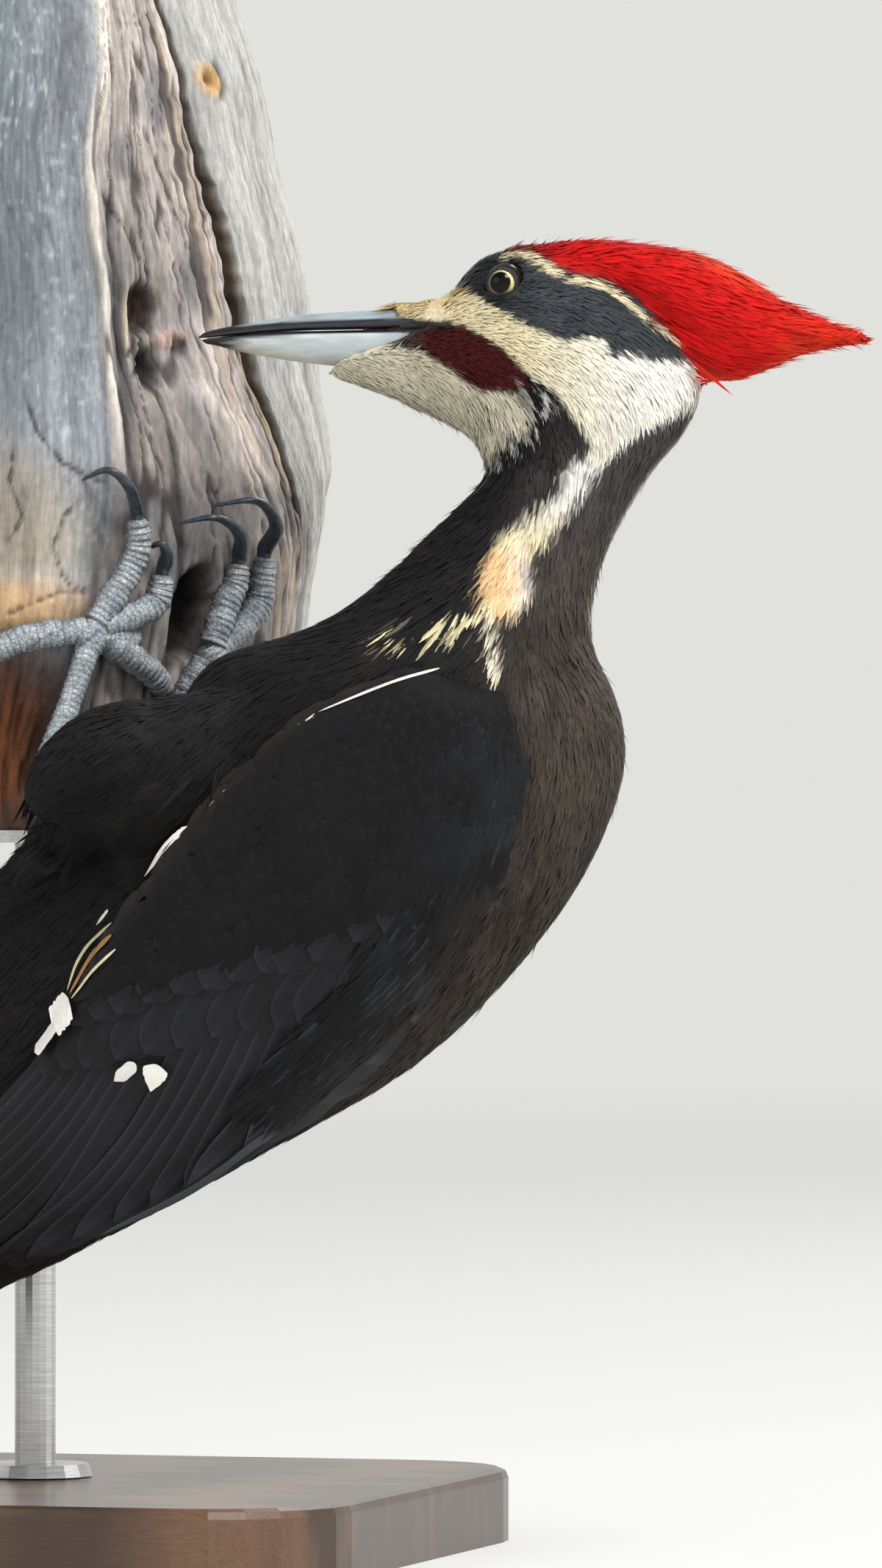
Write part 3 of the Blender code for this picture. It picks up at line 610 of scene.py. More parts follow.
def buildSkin():
    joined = bmesh.new()
    for node in fleshNodes:
        joined.from_mesh(bpy.data.objects[node].data)
    bmesh.ops.remove_doubles(joined, verts=joined.verts, dist=0.00002)
    for fold in flankFolds:
        rows = curveThrough(fold, 16)
        path = rows[:, :3]
        outward = np.tile([0.0, 0.0, 1.0], (len(path), 1))
        tube = loft(tubeRings(path, rows[:, 3], 20, outward))
        extra = bpy.data.meshes.new("fold")
        tube.to_mesh(extra)
        tube.free()
        joined.from_mesh(extra)
        bpy.data.meshes.remove(extra)
    bmesh.ops.recalc_face_normals(joined, faces=joined.faces)
    for vert in joined.verts:
        vert.co += vert.normal * skinSettings["grow"]
    skin = addPiece("skin", joined, skinMaterial())
    remesh = skin.modifiers.new("remesh", "REMESH")
    remesh.mode = "VOXEL"
    remesh.voxel_size = skinSettings["voxel"]
    applyModifiers(skin)
    bm = bmesh.new()
    bm.from_mesh(skin.data)

    def relax(verts, times):
        for _ in range(times):
            bmesh.ops.smooth_vert(bm, verts=verts, factor=0.5, use_axis_x=True, use_axis_y=True,
                                  use_axis_z=True)

    def fillCreases(verts, times):
        bm.normal_update()
        before = [(vert.co.copy(), vert.normal.copy()) for vert in verts]
        relax(verts, times)
        for vert, (place, normal) in zip(verts, before):     # fill hollows but keep the swells
            sunk = (vert.co - place).dot(normal)
            if sunk < 0:
                vert.co -= normal * sunk * 0.85

    relax(bm.verts, 3)
    fillCreases(list(bm.verts), skinSettings["smooth"])
    crease = Vector(toWorld((-96, -25, 186)))
    fillCreases([vert for vert in bm.verts if (vert.co - crease).length < 0.036],
                skinSettings["creaseSmooth"])
    relax(bm.verts, 2)
    bm.normal_update()
    bm.verts.ensure_lookup_table()
    place = toBird(np.array([vert.co for vert in bm.verts]))
    normals = np.array([vert.normal for vert in bm.verts])
    head = clamp((place[:, 2] - 255) / 15) * clamp((place[:, 0] + 62) / 4)
    depth = skinSettings["depth"] * (1 - head) + skinSettings["headDepth"] * head + 1.0
    place -= normals * depth[:, None]
    # the horn of the bill stands clear of the feathering beside it
    bare = soft(insidePolygon(place[:, 0], place[:, 2], marks["horn"]), 1.6)[:, 0]
    narrow = np.interp(place[:, 0], [-60, -40, -28], [2.4, 4.2, 5.4])
    narrow = np.minimum(np.abs(place[:, 1]), narrow)
    place[:, 1] = np.sign(place[:, 1]) * (np.abs(place[:, 1]) * (1 - bare) + narrow * bare)
    full = np.exp(-((place[:, 0] + 15) / 13) ** 2) * clamp((place[:, 2] - 303) / 5)
    place += normals * (full * 1.9)[:, None]          # a full forehead
    x = place[:, 0]
    place[:, 2] = np.where(x < -27, np.minimum(place[:, 2], noseRoof(x)), place[:, 2])
    # the crest runs out to a thin, drooping tip
    thin = 0.5 * clamp((x - 60) / 16) + 0.3 * clamp((x - 71) / 5)
    place[:, 1] *= 1 - thin
    place[:, 2] += (np.interp(x, [60, 77], [292.3, 289.5]) - place[:, 2]) * thin
    for vert, point in zip(bm.verts, toWorld(place)):
        vert.co = point
    relax(bm.verts, 1)
    bm.to_mesh(skin.data)
    bm.free()
    skin.data.shade_smooth()
    # painted shade: the skin showing between the tufts is a darker copy of the coat's colour over
    # it
    under = coatColours(toBird(vertexArray(skin.data)))
    bright = clamp(under.mean(axis=1, keepdims=True) * 3)    # pale under pale feathers
    paintVertices(skin.data, under * (0.72 + 0.24 * bright))
    settle(skin, "plumage_black", *fleshNodes)
    return skin


def paintVertices(mesh, colour):
    layer = mesh.color_attributes.new("coatColour", "FLOAT_COLOR", "POINT")
    rgba = np.ones((len(colour), 4), dtype=np.float32)
    rgba[:, :3] = colour
    layer.data.foreach_set("color", rgba.ravel())


def vertexArray(mesh):
    points = np.empty(len(mesh.vertices) * 3, dtype=np.float32)
    mesh.vertices.foreach_get("co", points)
    return points.reshape(-1, 3).astype(float)


def applyModifiers(piece):
    graph = bpy.context.evaluated_depsgraph_get()
    done = bpy.data.meshes.new_from_object(piece.evaluated_get(graph))
    piece.modifiers.clear()
    old = piece.data
    piece.data = done
    bpy.data.meshes.remove(old)


def skinMaterial():
    n = Nodes("down_and_skin")
    n.set(Roughness=0.75)
    tint = n.paint()
    grain = n.noise(n.coords(), 900.0, 4.0)
    colour = n.blend("MULTIPLY", 0.7, tint, n.greys(grain, 0.3, 0.4, 0.7, 1.1))
    return n.finish(colour, n.bump(grain, 0.5, 0.0004))


# Feather material: colour from the coat's attribute, fine barbs from the vane map
def coatMaterial(name, roughness, sheen, gloss):
    n = Nodes(name)
    n.set(Roughness=roughness, Sheen_Weight=sheen, Sheen_Roughness=0.4, Specular_IOR_Level=gloss)
    tint = n.paint()
    barbs = n.noise(n.coords((1.0, 26.0, 1.0), "vaneMap"), 5.0, 2.0)
    broad = n.noise(n.coords(), 200.0, 4.0)
    colour = n.blend("MULTIPLY", 0.55, tint, n.greys(barbs, 0.25, 0.45, 0.75, 1.25))
    colour = n.blend("MULTIPLY", 0.4, colour, n.greys(broad, 0.3, 0.6, 0.7, 1.2))
    return n.finish(colour, n.bump(barbs, 0.35, 0.0002))


# zone: length, width, height of the tip, tufts for each square millimetre, rows, splay, contrast
coatZones = {
    "face": (3.3, 0.42, 0.42, 4.6, 4, 0.12, 0.10),
    "nasal": (2.7, 0.36, 0.16, 7.5, 4, 0.05, 0.08),
    "head": (5.0, 0.54, 0.5, 3.6, 4, 0.11, 0.12),
    "crest": (13.0, 0.75, 1.0, 2.7, 6, 0.09, 0.18),
    "neck": (8.0, 0.8, 0.9, 2.3, 5, 0.12, 0.15),
    "throat": (4.8, 0.5, 0.8, 3.6, 4, 0.15, 0.14),
    "body": (11.0, 1.25, 0.9, 1.2, 5, 0.09, 0.16),
    "mantle": (9.0, 1.0, 1.0, 1.8, 5, 0.11, 0.20),
    "belly": (11.5, 1.25, 1.1, 1.1, 5, 0.11, 0.16),
    "thigh": (8.5, 1.05, 0.9, 1.7, 5, 0.12, 0.15),
}


# Corners, areas and normals of the skin's triangles, in the bird's millimetres
def sampleSkin(skin):
    mesh = skin.data
    mesh.calc_loop_triangles()
    corners = np.empty(len(mesh.loop_triangles) * 3, dtype=np.int32)
    mesh.loop_triangles.foreach_get("vertices", corners)
    tri = toBird(vertexArray(mesh))[corners.reshape(-1, 3)]
    cross = np.cross(tri[:, 1] - tri[:, 0], tri[:, 2] - tri[:, 0])
    area = np.linalg.norm(cross, axis=1) / 2
    return tri, area, cross / (2 * area[:, None] + 1e-12)


def zoneOf(points):
    x, y, z = points.T
    zone = np.full(len(x), "body", dtype="U8")
    back, _ = nearLine(x, z, marks["back"][:6])
    zone[(back < 24) & (np.abs(y) < 30)] = "mantle"
    zone[(x < -84) & (z < 200)] = "belly"
    zone[(z > 226) & (z + 0.25 * x > 226)] = "neck"
    zone[(z > 262) & (x > -66)] = "head"
    zone[(z > 250) & (insidePolygon(x, z, marks["throat"]) > -1)] = "throat"
    zone[(z > 262) & (x < 8)] = "face"
    zone[(z > 262) & (insidePolygon(x, z, marks["throat"]) > 0) & (x > -40)] = "throat"
    zone[insidePolygon(x, z, marks["crest"]) > 0] = "crest"
    start = -25 + (latticeNoise(points / 1.2, 51) - 0.5) * 9     # no line where the lie turns round
    zone[(x < start) & (x > -60) & (z > 294.8)] = "nasal"
    near = np.linalg.norm(points - (-104.0, -27.0, 190.0), axis=1) < 23
    far = (x > -95) & (x < -72) & (z < 192) & (z > 166) & (y > 20)
    zone[near | far] = "thigh"
    return zone


def buildCoat(skin, wingCover):
    rng = np.random.default_rng(7)
    tri, area, faceNormals = sampleSkin(skin)
    centre = tri.mean(axis=1)
    zones = zoneOf(centre)
    density = np.array([coatZones[zone][3] for zone in zones])
    density[wingCover(centre)] = 0.0
    index = np.repeat(np.arange(len(tri)), rng.poisson(density * area))
    a, b = rng.random((2, len(index)))
    flip = a + b > 1
    a[flip], b[flip] = 1 - a[flip], 1 - b[flip]
    first, second, third = tri[index].transpose(1, 0, 2)
    roots = first + a[:, None] * (second - first) + b[:, None] * (third - first)
    keep = clearOfBareParts(roots) & (roots[:, 0] < 75.0)
    keep &= (roots[:, 0] < 70) | (faceNormals[index][:, 0] < 0.55)
    keep &= (zones[index] != "nasal") | (faceNormals[index][:, 0] > -0.3)
    roots, normals, zones = roots[keep], faceNormals[index][keep], zones[index][keep]
    tree = treeOf(skin)
    faces = 0
    for zone in sorted(coatZones):
        pick = zones == zone
        if pick.any():
            faces += growZone(zone, roots[pick], normals[pick], tree, rng)
    print("coat:", len(roots), "tufts,", faces * 2, "triangles")


# Leave out roots on the eyes, on the bare ring round them and where the horn shows
def clearOfBareParts(points):
    x, y, z = points.T
    ex, ey, ez = eyeSettings["centre"]
    eye = np.sqrt((x - ex) ** 2 + (np.abs(y) - ey) ** 2 + (z - ez) ** 2)
    lookX, lookZ = eyeSettings["ringCentre"]
    ring = np.hypot(x - lookX, z - lookZ)
    horn = insidePolygon(x, z, marks["horn"]) > -0.2
    mouth = (nearLine(x, z, marks["lip"])[0] < 0.6) & (np.abs(y) > 2)
    return (eye > 5.3) & ~((ring < 3.9) & (np.abs(y) > 6)) & ~horn & ~mouth


# Tufts of one zone: thin ribbons that follow the skin from root to tip
def growZone(zone, roots, normals, tree, rng, flowOf=None, colours=None, name=None):
    length, width, rise, _, rows, splay, contrast = coatZones[zone]
    count = len(roots)
    flowOf = flowOf or flowAt
    lengths = length * rng.uniform(0.7, 1.2, count)
    if zone == "crest":                      # short at the front, and none runs past the tip
        lengths *= np.clip((roots[:, 0] + 14) / 26, 0.3, 1)
        left = (76.8 - roots[:, 0]) * (1 - 0.6 * latticeNoise(roots / 0.4, 61))
        lengths = np.minimum(lengths, np.clip(left, 0.8, 20))
    if zone == "nasal":                      # the foremost ones run out along the culmen
        lengths = np.where(roots[:, 0] < -38, lengths * rng.uniform(1.0, 2.8, count), lengths)
    swing = rng.normal(0, splay, count)
    layer = rng.uniform(0.0, 0.5, count)
    if zone == "crest":                      # flat at the tip and beside the nape
        corner = (roots[:, 2] < 284) & (roots[:, 0] < 43)
        lengths = np.where(corner, lengths * 0.3, lengths)
        layer *= np.clip((78 - roots[:, 0]) / 14, 0.0, 1)
        rise = rise * np.clip((79 - roots[:, 0]) / 12, 0.1, 1) * np.where(corner, 0.4, 1)
        rise = rise[:, None]
    layer = layer[:, None]
    share = {"crest": 0.09, "throat": 0.06, "neck": 0.03}.get(zone, 0.008)
    loose = ((rng.random(count) < share) * rng.uniform(0.3, 1.0, count))[:, None] * rise
    steps = rows - 1
    point, normal = roots.copy(), normals.copy()

    def turn(flow, normal):
        return unit(flow + np.cross(normal, flow) * swing[:, None])

    def lay(point, normal):
        if zone != "nasal":
            return turn(flowOf(point, normal), normal)
        forward = np.array([-1.0, 0.0, -0.16]) - normal * (normal @ [-1.0, 0.0, -0.16])[:, None]
        return turn(unit(forward), normal)

    heading = lay(point, normal)
    spots, ups, headings = [roots - normals * 0.3], [normals], [heading]
    for k in range(1, rows):
        ahead = point + heading * (lengths / steps)[:, None]
        found, bend = np.empty_like(ahead), np.empty_like(ahead)
        for i, spot in enumerate(toWorld(ahead)):
            found[i], bend[i] = tree.find_nearest(spot)[:2]
        near = toBird(found)
        free = (np.linalg.norm(ahead - near, axis=1) > 0.9)[:, None]   # it runs on past an edge
        if zone == "nasal":
            free |= bend[:, 0:1] < -0.4
        if zone == "crest":
            free |= (bend[:, 0:1] > 0.45) & (point[:, 0:1] > 66)
        point = np.where(free, ahead, near)
        normal = np.where(free, ups[-1], bend)
        heading = np.where(free, heading, lay(point, normal))
        t = k / steps
        lift = layer + rise * (0.2 + 0.8 * t ** 1.6) + loose * t ** 2 * 1.6
        spots.append(point + normal * lift)
        ups.append(normal)
        headings.append(heading)
    shape = np.interp(np.linspace(0, 1, rows), [0, 0.2, 0.55, 0.8, 1.0], [0.5, 1.0, 0.9, 0.6, 0.05])
    halfWidths = width / 2 * rng.uniform(0.7, 1.3, count)
    columns = 2 if zone in ("face", "head", "nasal", "throat") else 3
    points = np.empty((count, rows, columns, 3))
    across = np.linspace(-1, 1, columns)
    for k in range(rows):
        side = unit(np.cross(ups[k], headings[k]), 1e-9)
        for j, u in enumerate(across):
            points[:, k, j] = (spots[k] + side * (halfWidths * shape[k] * u)[:, None]
                               + ups[k] * (halfWidths * shape[k] * 0.4 * (1 - u * u))[:, None])
    if zone == "nasal":
        x = points[..., 0]
        top = noseRoof(np.maximum(x, -47.0)) + np.interp(x, [-52, -44], [0.2, 0.55])
        points[..., 2] = np.clip(points[..., 2], 295.2, top)
    if colours is None:
        colours = coatColours(roots + headings[0] * (lengths * 0.42)[:, None], rng)
    mottle = rng.uniform(1 - contrast, 1 + contrast, (count, 1))
    # painted shade: each tuft darkens towards its root and lightens towards its tip
    tipShade = np.linspace(1 - contrast * 1.1, 1 + contrast * 0.6, rows)[None, :, None, None]
    tint = np.broadcast_to((colours * mottle)[:, None, None, :] * tipShade, points.shape)
    u = np.broadcast_to(across[None, None, :], (count, rows, columns))
    v = np.broadcast_to(np.linspace(-1, 1, rows)[None, :, None], (count, rows, columns))
    bake = bakePlace(roots)[:, None, None, :] + bakePatch * np.stack([v, u], -1)
    vane = np.stack([v, u], -1) * 0.5 + rng.random((count, 1, 1, 2))
    quad = gridFaces(rows, columns, turned=True)
    chunk = pieceTriangles // (len(quad) * 2)
    for number, first in enumerate(range(0, count, chunk), 1):
        part = slice(first, min(first + chunk, count))
        size = part.stop - first
        faces = (quad[None] + (np.arange(size) * rows * columns)[:, None, None]).reshape(-1, 4)
        piece = meshFromArrays(
            f"coat_{name or zone}_{number}", toWorld(points[part].reshape(-1, 3)), faces,
            coatMaterials["crest" if zone == "crest" else "coat"], tint[part].reshape(-1, 3),
            {"OFBake": bake[part].reshape(-1, 2), "vaneMap": vane[part].reshape(-1, 2)})
        settle(piece, "plumage_red" if zone == "crest" else "plumage_black")
    return count * len(quad)


wingEdges = {
    "leading": [(-24.9, 212.4), (-47.9, 204.8), (-66.8, 190.5), (-83.3, 173.3), (-98.8, 156.0),
                (-111.3, 137.1), (-125.9, 118.1), (-148.6, 101.7), (-176.6, 84.5),
                (-202.6, 69.0), (-221.1, 57.8)],
    "trailing": [(-7.5, 207.8), (-2.2, 192.0), (-5.4, 176.0), (-12.8, 155.3), (-31.5, 131.0),
                 (-55.0, 111.0), (-83.0, 90.0), (-110.0, 77.0), (-147.2, 63.5), (-186.7, 57.0),
                 (-222.0, 55.6)],
}


# Where a folded wing lies: a smooth height over the side plane, draped over wing and body
class WingSheet:
    def __init__(self, skin, inset=0.0):
        self.leading = curveThrough(wingEdges["leading"], 101)
        self.trailing = curveThrough(wingEdges["trailing"], 101)
        reach = self.trailing - self.leading
        wide = np.linalg.norm(reach, axis=1, keepdims=True)
        self.trailing = self.leading + reach * np.clip(1 - inset / wide, 0.3, 1)
        self.low = np.array([-240.0, 30.0])
        self.step = 2.0
        self.size = (136, 102)
        surfaces = ((treeOf(bpy.data.objects["wing_left"]), 0.0), (treeOf(skin), 1.4))
        height = np.full(self.size, np.nan)
        for i, j in np.ndindex(self.size):
            x, z = self.low + np.array([i, j]) * self.step
            start = Vector(toWorld((x, -120.0, z)))
            hits = [(tree.ray_cast(start, (0, 1, 0))[0], proud) for tree, proud in surfaces]
            reach = [-toBird(hit)[1] + proud for hit, proud in hits if hit]
            if reach and (x < -60 or z < 215):
                height[i, j] = max(reach)

        def around(padded):
            return [padded[1 + a:self.size[0] + 1 + a, 1 + b:self.size[1] + 1 + b]
                    for a in (-1, 0, 1) for b in (-1, 0, 1)]

        while np.isnan(height).any():        # carry the heights on past the outline
            near = np.stack(around(np.pad(height, 1, constant_values=np.nan)))
            known = ~np.isnan(near)
            mean = np.where(known, near, 0).sum(0) / np.maximum(known.sum(0), 1)
            height = np.where(np.isnan(height) & known.any(0), mean - 0.4, height)
        for _ in range(3):
            height = sum(around(np.pad(height, 1, mode="edge"))) / 9
        self.height = height
        a, c = np.meshgrid(np.linspace(0, 0.98, 70), np.linspace(-0.1, 1.25, 24), indexing="ij")
        self.knots = self.at(a, c).reshape(-1, 2)
        self.ways = unit(self.at(a + 0.02, c).reshape(-1, 2) - self.knots)

    def out(self, points):
        place = np.clip((np.asarray(points) - self.low) / self.step, 0, np.array(self.size) - 1.001)
        i = place.astype(int)
        f = place - i
        h = self.height
        return (h[i[..., 0], i[..., 1]] * (1 - f[..., 0]) * (1 - f[..., 1])
                + h[i[..., 0] + 1, i[..., 1]] * f[..., 0] * (1 - f[..., 1])
                + h[i[..., 0], i[..., 1] + 1] * (1 - f[..., 0]) * f[..., 1]
                + h[i[..., 0] + 1, i[..., 1] + 1] * f[..., 0] * f[..., 1])

    # Place (x, z) at shares along the wing and from its leading to its trailing edge
    def at(self, along, across):
        along = clamp(np.asarray(along, dtype=float)) * 100
        i = np.minimum(along.astype(int), 99)
        t = (along - i)[..., None]
        lead = self.leading[i] * (1 - t) + self.leading[i + 1] * t
        trail = self.trailing[i] * (1 - t) + self.trailing[i + 1] * t
        across = np.asarray(across, dtype=float)[..., None]
        return lead * (1 - across) + trail * across

    def flow(self, points, normals):
        dx = points[:, 0:1] - self.knots[None, :, 0]
        dz = points[:, 2:3] - self.knots[None, :, 1]
        way = self.ways[(dx ** 2 + dz ** 2).argmin(1)]
        flow = np.c_[way[:, 0], np.zeros(len(way)), way[:, 1]]
        flow -= normals * (flow * normals).sum(1, keepdims=True)
        return unit(flow)

    def covers(self, points):
        outline = np.vstack([self.leading[::5], self.trailing[::-5]])
        inside = insidePolygon(points[:, 0], points[:, 2], outline) > 7.0
        return (inside & (np.abs(points[:, 1]) > 8.0)) | (points[:, 0] < -196)

    # The draped sheet as a search tree, for small feathers that are laid on it
    def tree(self, sign):
        i, j = np.meshgrid(np.arange(self.size[0]), np.arange(self.size[1]), indexing="ij")
        points = np.stack([self.low[0] + i * self.step, sign * self.height,
                           self.low[1] + j * self.step], -1)
        quads = gridFaces(*self.size, turned=True)
        if sign > 0:
            quads = quads[:, ::-1]
        return BVHTree.FromPolygons(toWorld(points.reshape(-1, 3)).tolist(), quads.tolist())


# Collects modelled feathers and joins them into one mesh
class Vanes:
    def __init__(self, rng):
        self.points, self.faces, self.colours, self.maps, self.bakes = [], [], [], [], []
        self.count = 0
        self.rng = rng

    # One vane: centre line points, unit sideways vectors, and half widths of its two webs
    def add(self, centre, sideways, lead, trail, place, colour, tip="round", camber=0.6, tilt=0.0,
            lift=(0.0, 0.0), rows=26, columns=9, shaft=0.3, ragged=0.05, rim=0.35, quill=1.6,
            flip=False):
        t = np.linspace(0, 1, rows)
        centre = curveThrough(centre, rows)
        sideways = curveThrough(sideways, rows)
        grown = clamp((t + 0.02) / 0.14) ** 0.6
        shapes = {"wedge": (0.3, 1.2, 0.9), "round": (0.80, 2.0, 0.5), "narrow": (0.55, 1.7, 0.5),
                  "pointed": (0.6, 1.4, 1.0), "square": (0.97, 2.0, 0.5)}
        start, power, root = shapes[tip]
        end = clamp(1 - clamp((t - start) / (1 - start)) ** power) ** root
        profile = grown * np.maximum(end, 0.03)
        wear = 1 - ragged * self.rng.random((rows, 1)) * (t > 0.1)[:, None]
        across = np.linspace(-1, 1, columns)
        webs = np.where(across < 0, lead, trail)
        back = unit(np.gradient(centre, axis=0), 1e-9)
        reach = profile[:, None] * wear * (webs * across)[None, :]
        sweep = 0.22 * np.abs(reach) * (np.abs(across) ** 0.8)[None, :] * (1 - t)[:, None]
        grid = (centre[:, None] + sideways[:, None] * reach[..., None]
                + back[:, None] * sweep[..., None])
        raised = (-camber * (across ** 2)[None, :] * profile[:, None] - tilt * across[None, :]
                  + shaft * np.exp(-(across / 0.14) ** 2)[None, :] * (1 - 0.8 * t)[:, None]
                  + (lift[0] + (lift[1] - lift[0]) * t)[:, None])
        points = place(grid, raised)
        self.points.append(points.reshape(-1, 3))
        quads = gridFaces(rows, columns)
        self.faces.append((quads[:, ::-1] if flip else quads) + self.count)
        self.count += rows * columns
        tint = np.tile(linear(colour) * self.rng.uniform(0.85, 1.18), (rows, columns, 1))
        edge = clamp((np.abs(across) - 0.72) / 0.2)[None, :, None] * rim
        edge = np.maximum(edge, clamp((t - 0.93) / 0.05)[:, None, None] * rim)
        tint = tint * (1 - edge) + linear(plumage["rim"]) * edge
        tint = tint * np.where(np.abs(across) < 0.1, quill, 1.0)[None, :, None]
        # painted light and shade: the open web of each vane is lighter, the hidden upper web darker
        if quill > 1:                        # the hidden, upper web of each vane is the darker one
            tint = tint * np.interp(across, [-1, 0.2, 1], [1.25, 1.0, 0.7])[None, :, None]
        self.colours.append(tint.reshape(-1, 3))
        length = np.linalg.norm(np.diff(centre, axis=0), axis=1).sum()
        offset = self.rng.random(2) * 5
        vane = np.stack(np.broadcast_arrays(t[:, None] * length * 0.08 + offset[0]
                                            - 0.22 * np.abs(across)[None, :],
                                            across[None, :] * 0.5 + offset[1] + 0 * t[:, None]), -1)
        self.maps.append(vane.reshape(-1, 2))
        root = bakePlace(points[0, columns // 2][None])[0]
        spread = np.stack(np.broadcast_arrays(root[0] + bakePatch * (2 * t[:, None] - 1),
                                              root[1] + bakePatch * across[None, :]), -1)
        self.bakes.append(spread.reshape(-1, 2))

    def build(self, name, material, *nodes):
        piece = meshFromArrays(name, toWorld(np.vstack(self.points)), np.vstack(self.faces),
                               material, np.vstack(self.colours),
                               {"OFBake": np.vstack(self.bakes), "vaneMap": np.vstack(self.maps)})
        settle(piece, "plumage_black", *nodes)


# Flat feathers: fine slanting barbs, a slightly glossy, bluish black and a painted bluish sheen in
# broad patches
def vaneMaterial(name, roughness, gloss):
    n = Nodes(name)
    n.set(Roughness=roughness, Specular_IOR_Level=gloss)
    tint = n.paint()
    barbs = n.noise(n.coords((60.0, 1.2, 1.0), "vaneMap"), 2.2, 3.0, 0.7)
    patches = n.noise(n.coords(), 70.0, 4.0)
    colour = n.blend("MULTIPLY", 0.6, tint, n.greys(barbs, 0.25, 0.5, 0.75, 1.3))
    colour = n.blend("MULTIPLY", 0.5, colour, n.greys(patches, 0.3, 0.7, 0.7, 1.25))
    glow = n.noise(n.coords((1.0, 1.0, 0.6)), 26.0, 3.0)       # soft bluish sheen in broad patches
    colour = n.blend("ADD", n.greys(glow, 0.46, 0.0, 0.72, 1.0), colour,
                     (0.0075, 0.008, 0.0105))
    rough = n.greys(patches, 0.3, roughness - 0.08, 0.7, roughness + 0.12)
    return n.finish(colour, n.bump(barbs, 0.4, 0.00025), rough)


wingLength = 265.0
# rows of large coverts from the lower one up: tips' share along at the leading and trailing
# edge, how many, length, half width and height over the wing's face
covertRows = [(0.596, 0.362, 13, 42, 4.8, -0.85), (0.532, 0.275, 15, 40, 4.9, 0.05)]
# primaries, secondaries and tertials: shares along and across the wing at root, middle and tip,
# each a start and its change up to the last feather
flightRows = [
    {"count": 9, "widths": (3.0, 5.6), "along": ((0.36, 0.02), (0.58, 0.0), (1.0, -0.215)),
     "power": 1.3, "firstTip": 0.93, "across": ((0.05, 0.34), (0.06, 0.42), (0.30, 0.62)),
     "level": (-2.9, 0.10),
     "vane": {"tip": "narrow", "camber": 0.35, "tilt": 0.62, "rows": 44, "ragged": 0.025}},
    {"count": 10, "widths": (4.0, 6.4), "along": ((0.27, 0.0), (0.42, 0.0), (0.77, -0.30)),
     "power": 1.0, "across": ((0.26, 0.50), (0.40, 0.46), (0.86, 0.10)), "level": (-2.1, 0.08),
     "vane": {"camber": 0.4, "tilt": 0.66, "rows": 36, "ragged": 0.025}},
    {"count": 5, "widths": (4.6, 6.6), "along": ((0.18, 0.0), (0.32, 0.0), (0.60, -0.20)),
     "power": 1.0, "across": ((0.70, 0.16), (0.80, 0.12), (0.92, 0.08)), "level": (-0.2, 0.16),
     "vane": {"camber": 0.45, "tilt": 0.5, "rows": 34, "rim": 0.5}},
]
smallCoverts = {"lead": 0.498, "trail": 0.245, "count": 3400, "scapulars": 2600}
coatZones["lesser"] = (8.5, 3.2, 0.45, 0, 5, 0.10, 0.10)
coatZones["scapular"] = (12.5, 1.25, 0.55, 0, 6, 0.06, 0.12)


def layOn(sheet, sign, level):
    def place(grid, raised):
        return np.stack([grid[..., 0], sign * (sheet.out(grid) + level + raised), grid[..., 1]], -1)
    return place


# Centre line and sideways vectors, towards the trailing edge, through shares of the wing
def wingStrip(sheet, alongs, acrosses):
    centre = sheet.at(curveThrough(alongs, 9)[:, 0], curveThrough(acrosses, 9)[:, 0])
    return centre, squareTo(centre)


# Flight feathers, outermost first, each lying over the one before
def addFlight(sheet, sign, vanes):
    for row in flightRows:
        for k in range(row["count"]):
            f = k / (row["count"] - 1)
            alongs = [start + change * f for start, change in row["along"]]
            start, change = row["along"][2]
            alongs[2] = start + change * f ** row["power"]
            if k == 0:
                alongs[2] = row.get("firstTip", alongs[2])
            centre, side = wingStrip(sheet, alongs, [start + change * f
                                                     for start, change in row["across"]])
            level = row["level"][0] + row["level"][1] * k
            vanes.add(centre, side, *row["widths"], layOn(sheet, sign, level),
                      plumage["wingBlack"], flip=sign < 0, **row["vane"])


def addCoverts(sheet, sign, vanes, rng):
    for lead, trail, number, length, half, level in covertRows:
        for k in range(number):
            f = (k + 0.5 + rng.uniform(-0.15, 0.15)) / number
            tip = lead * (1 - f) + trail * f + rng.uniform(-0.006, 0.006)
            start = tip - length / wingLength
            drift = 0.06 * (1 - f)
            centre, side = wingStrip(sheet, [start, (start + tip) / 2, tip],
                                     [f - drift * 0.4, f, min(f + drift, 1.0)])
            vanes.add(centre, side, half, half * 1.2, layOn(sheet, sign, level + 0.03 * k),
                      plumage["wingBlack"], camber=0.35, tilt=0.25, lift=(-0.7, 0.6), rows=18,
                      shaft=0.08, ragged=0.05, rim=0.2, flip=sign < 0)
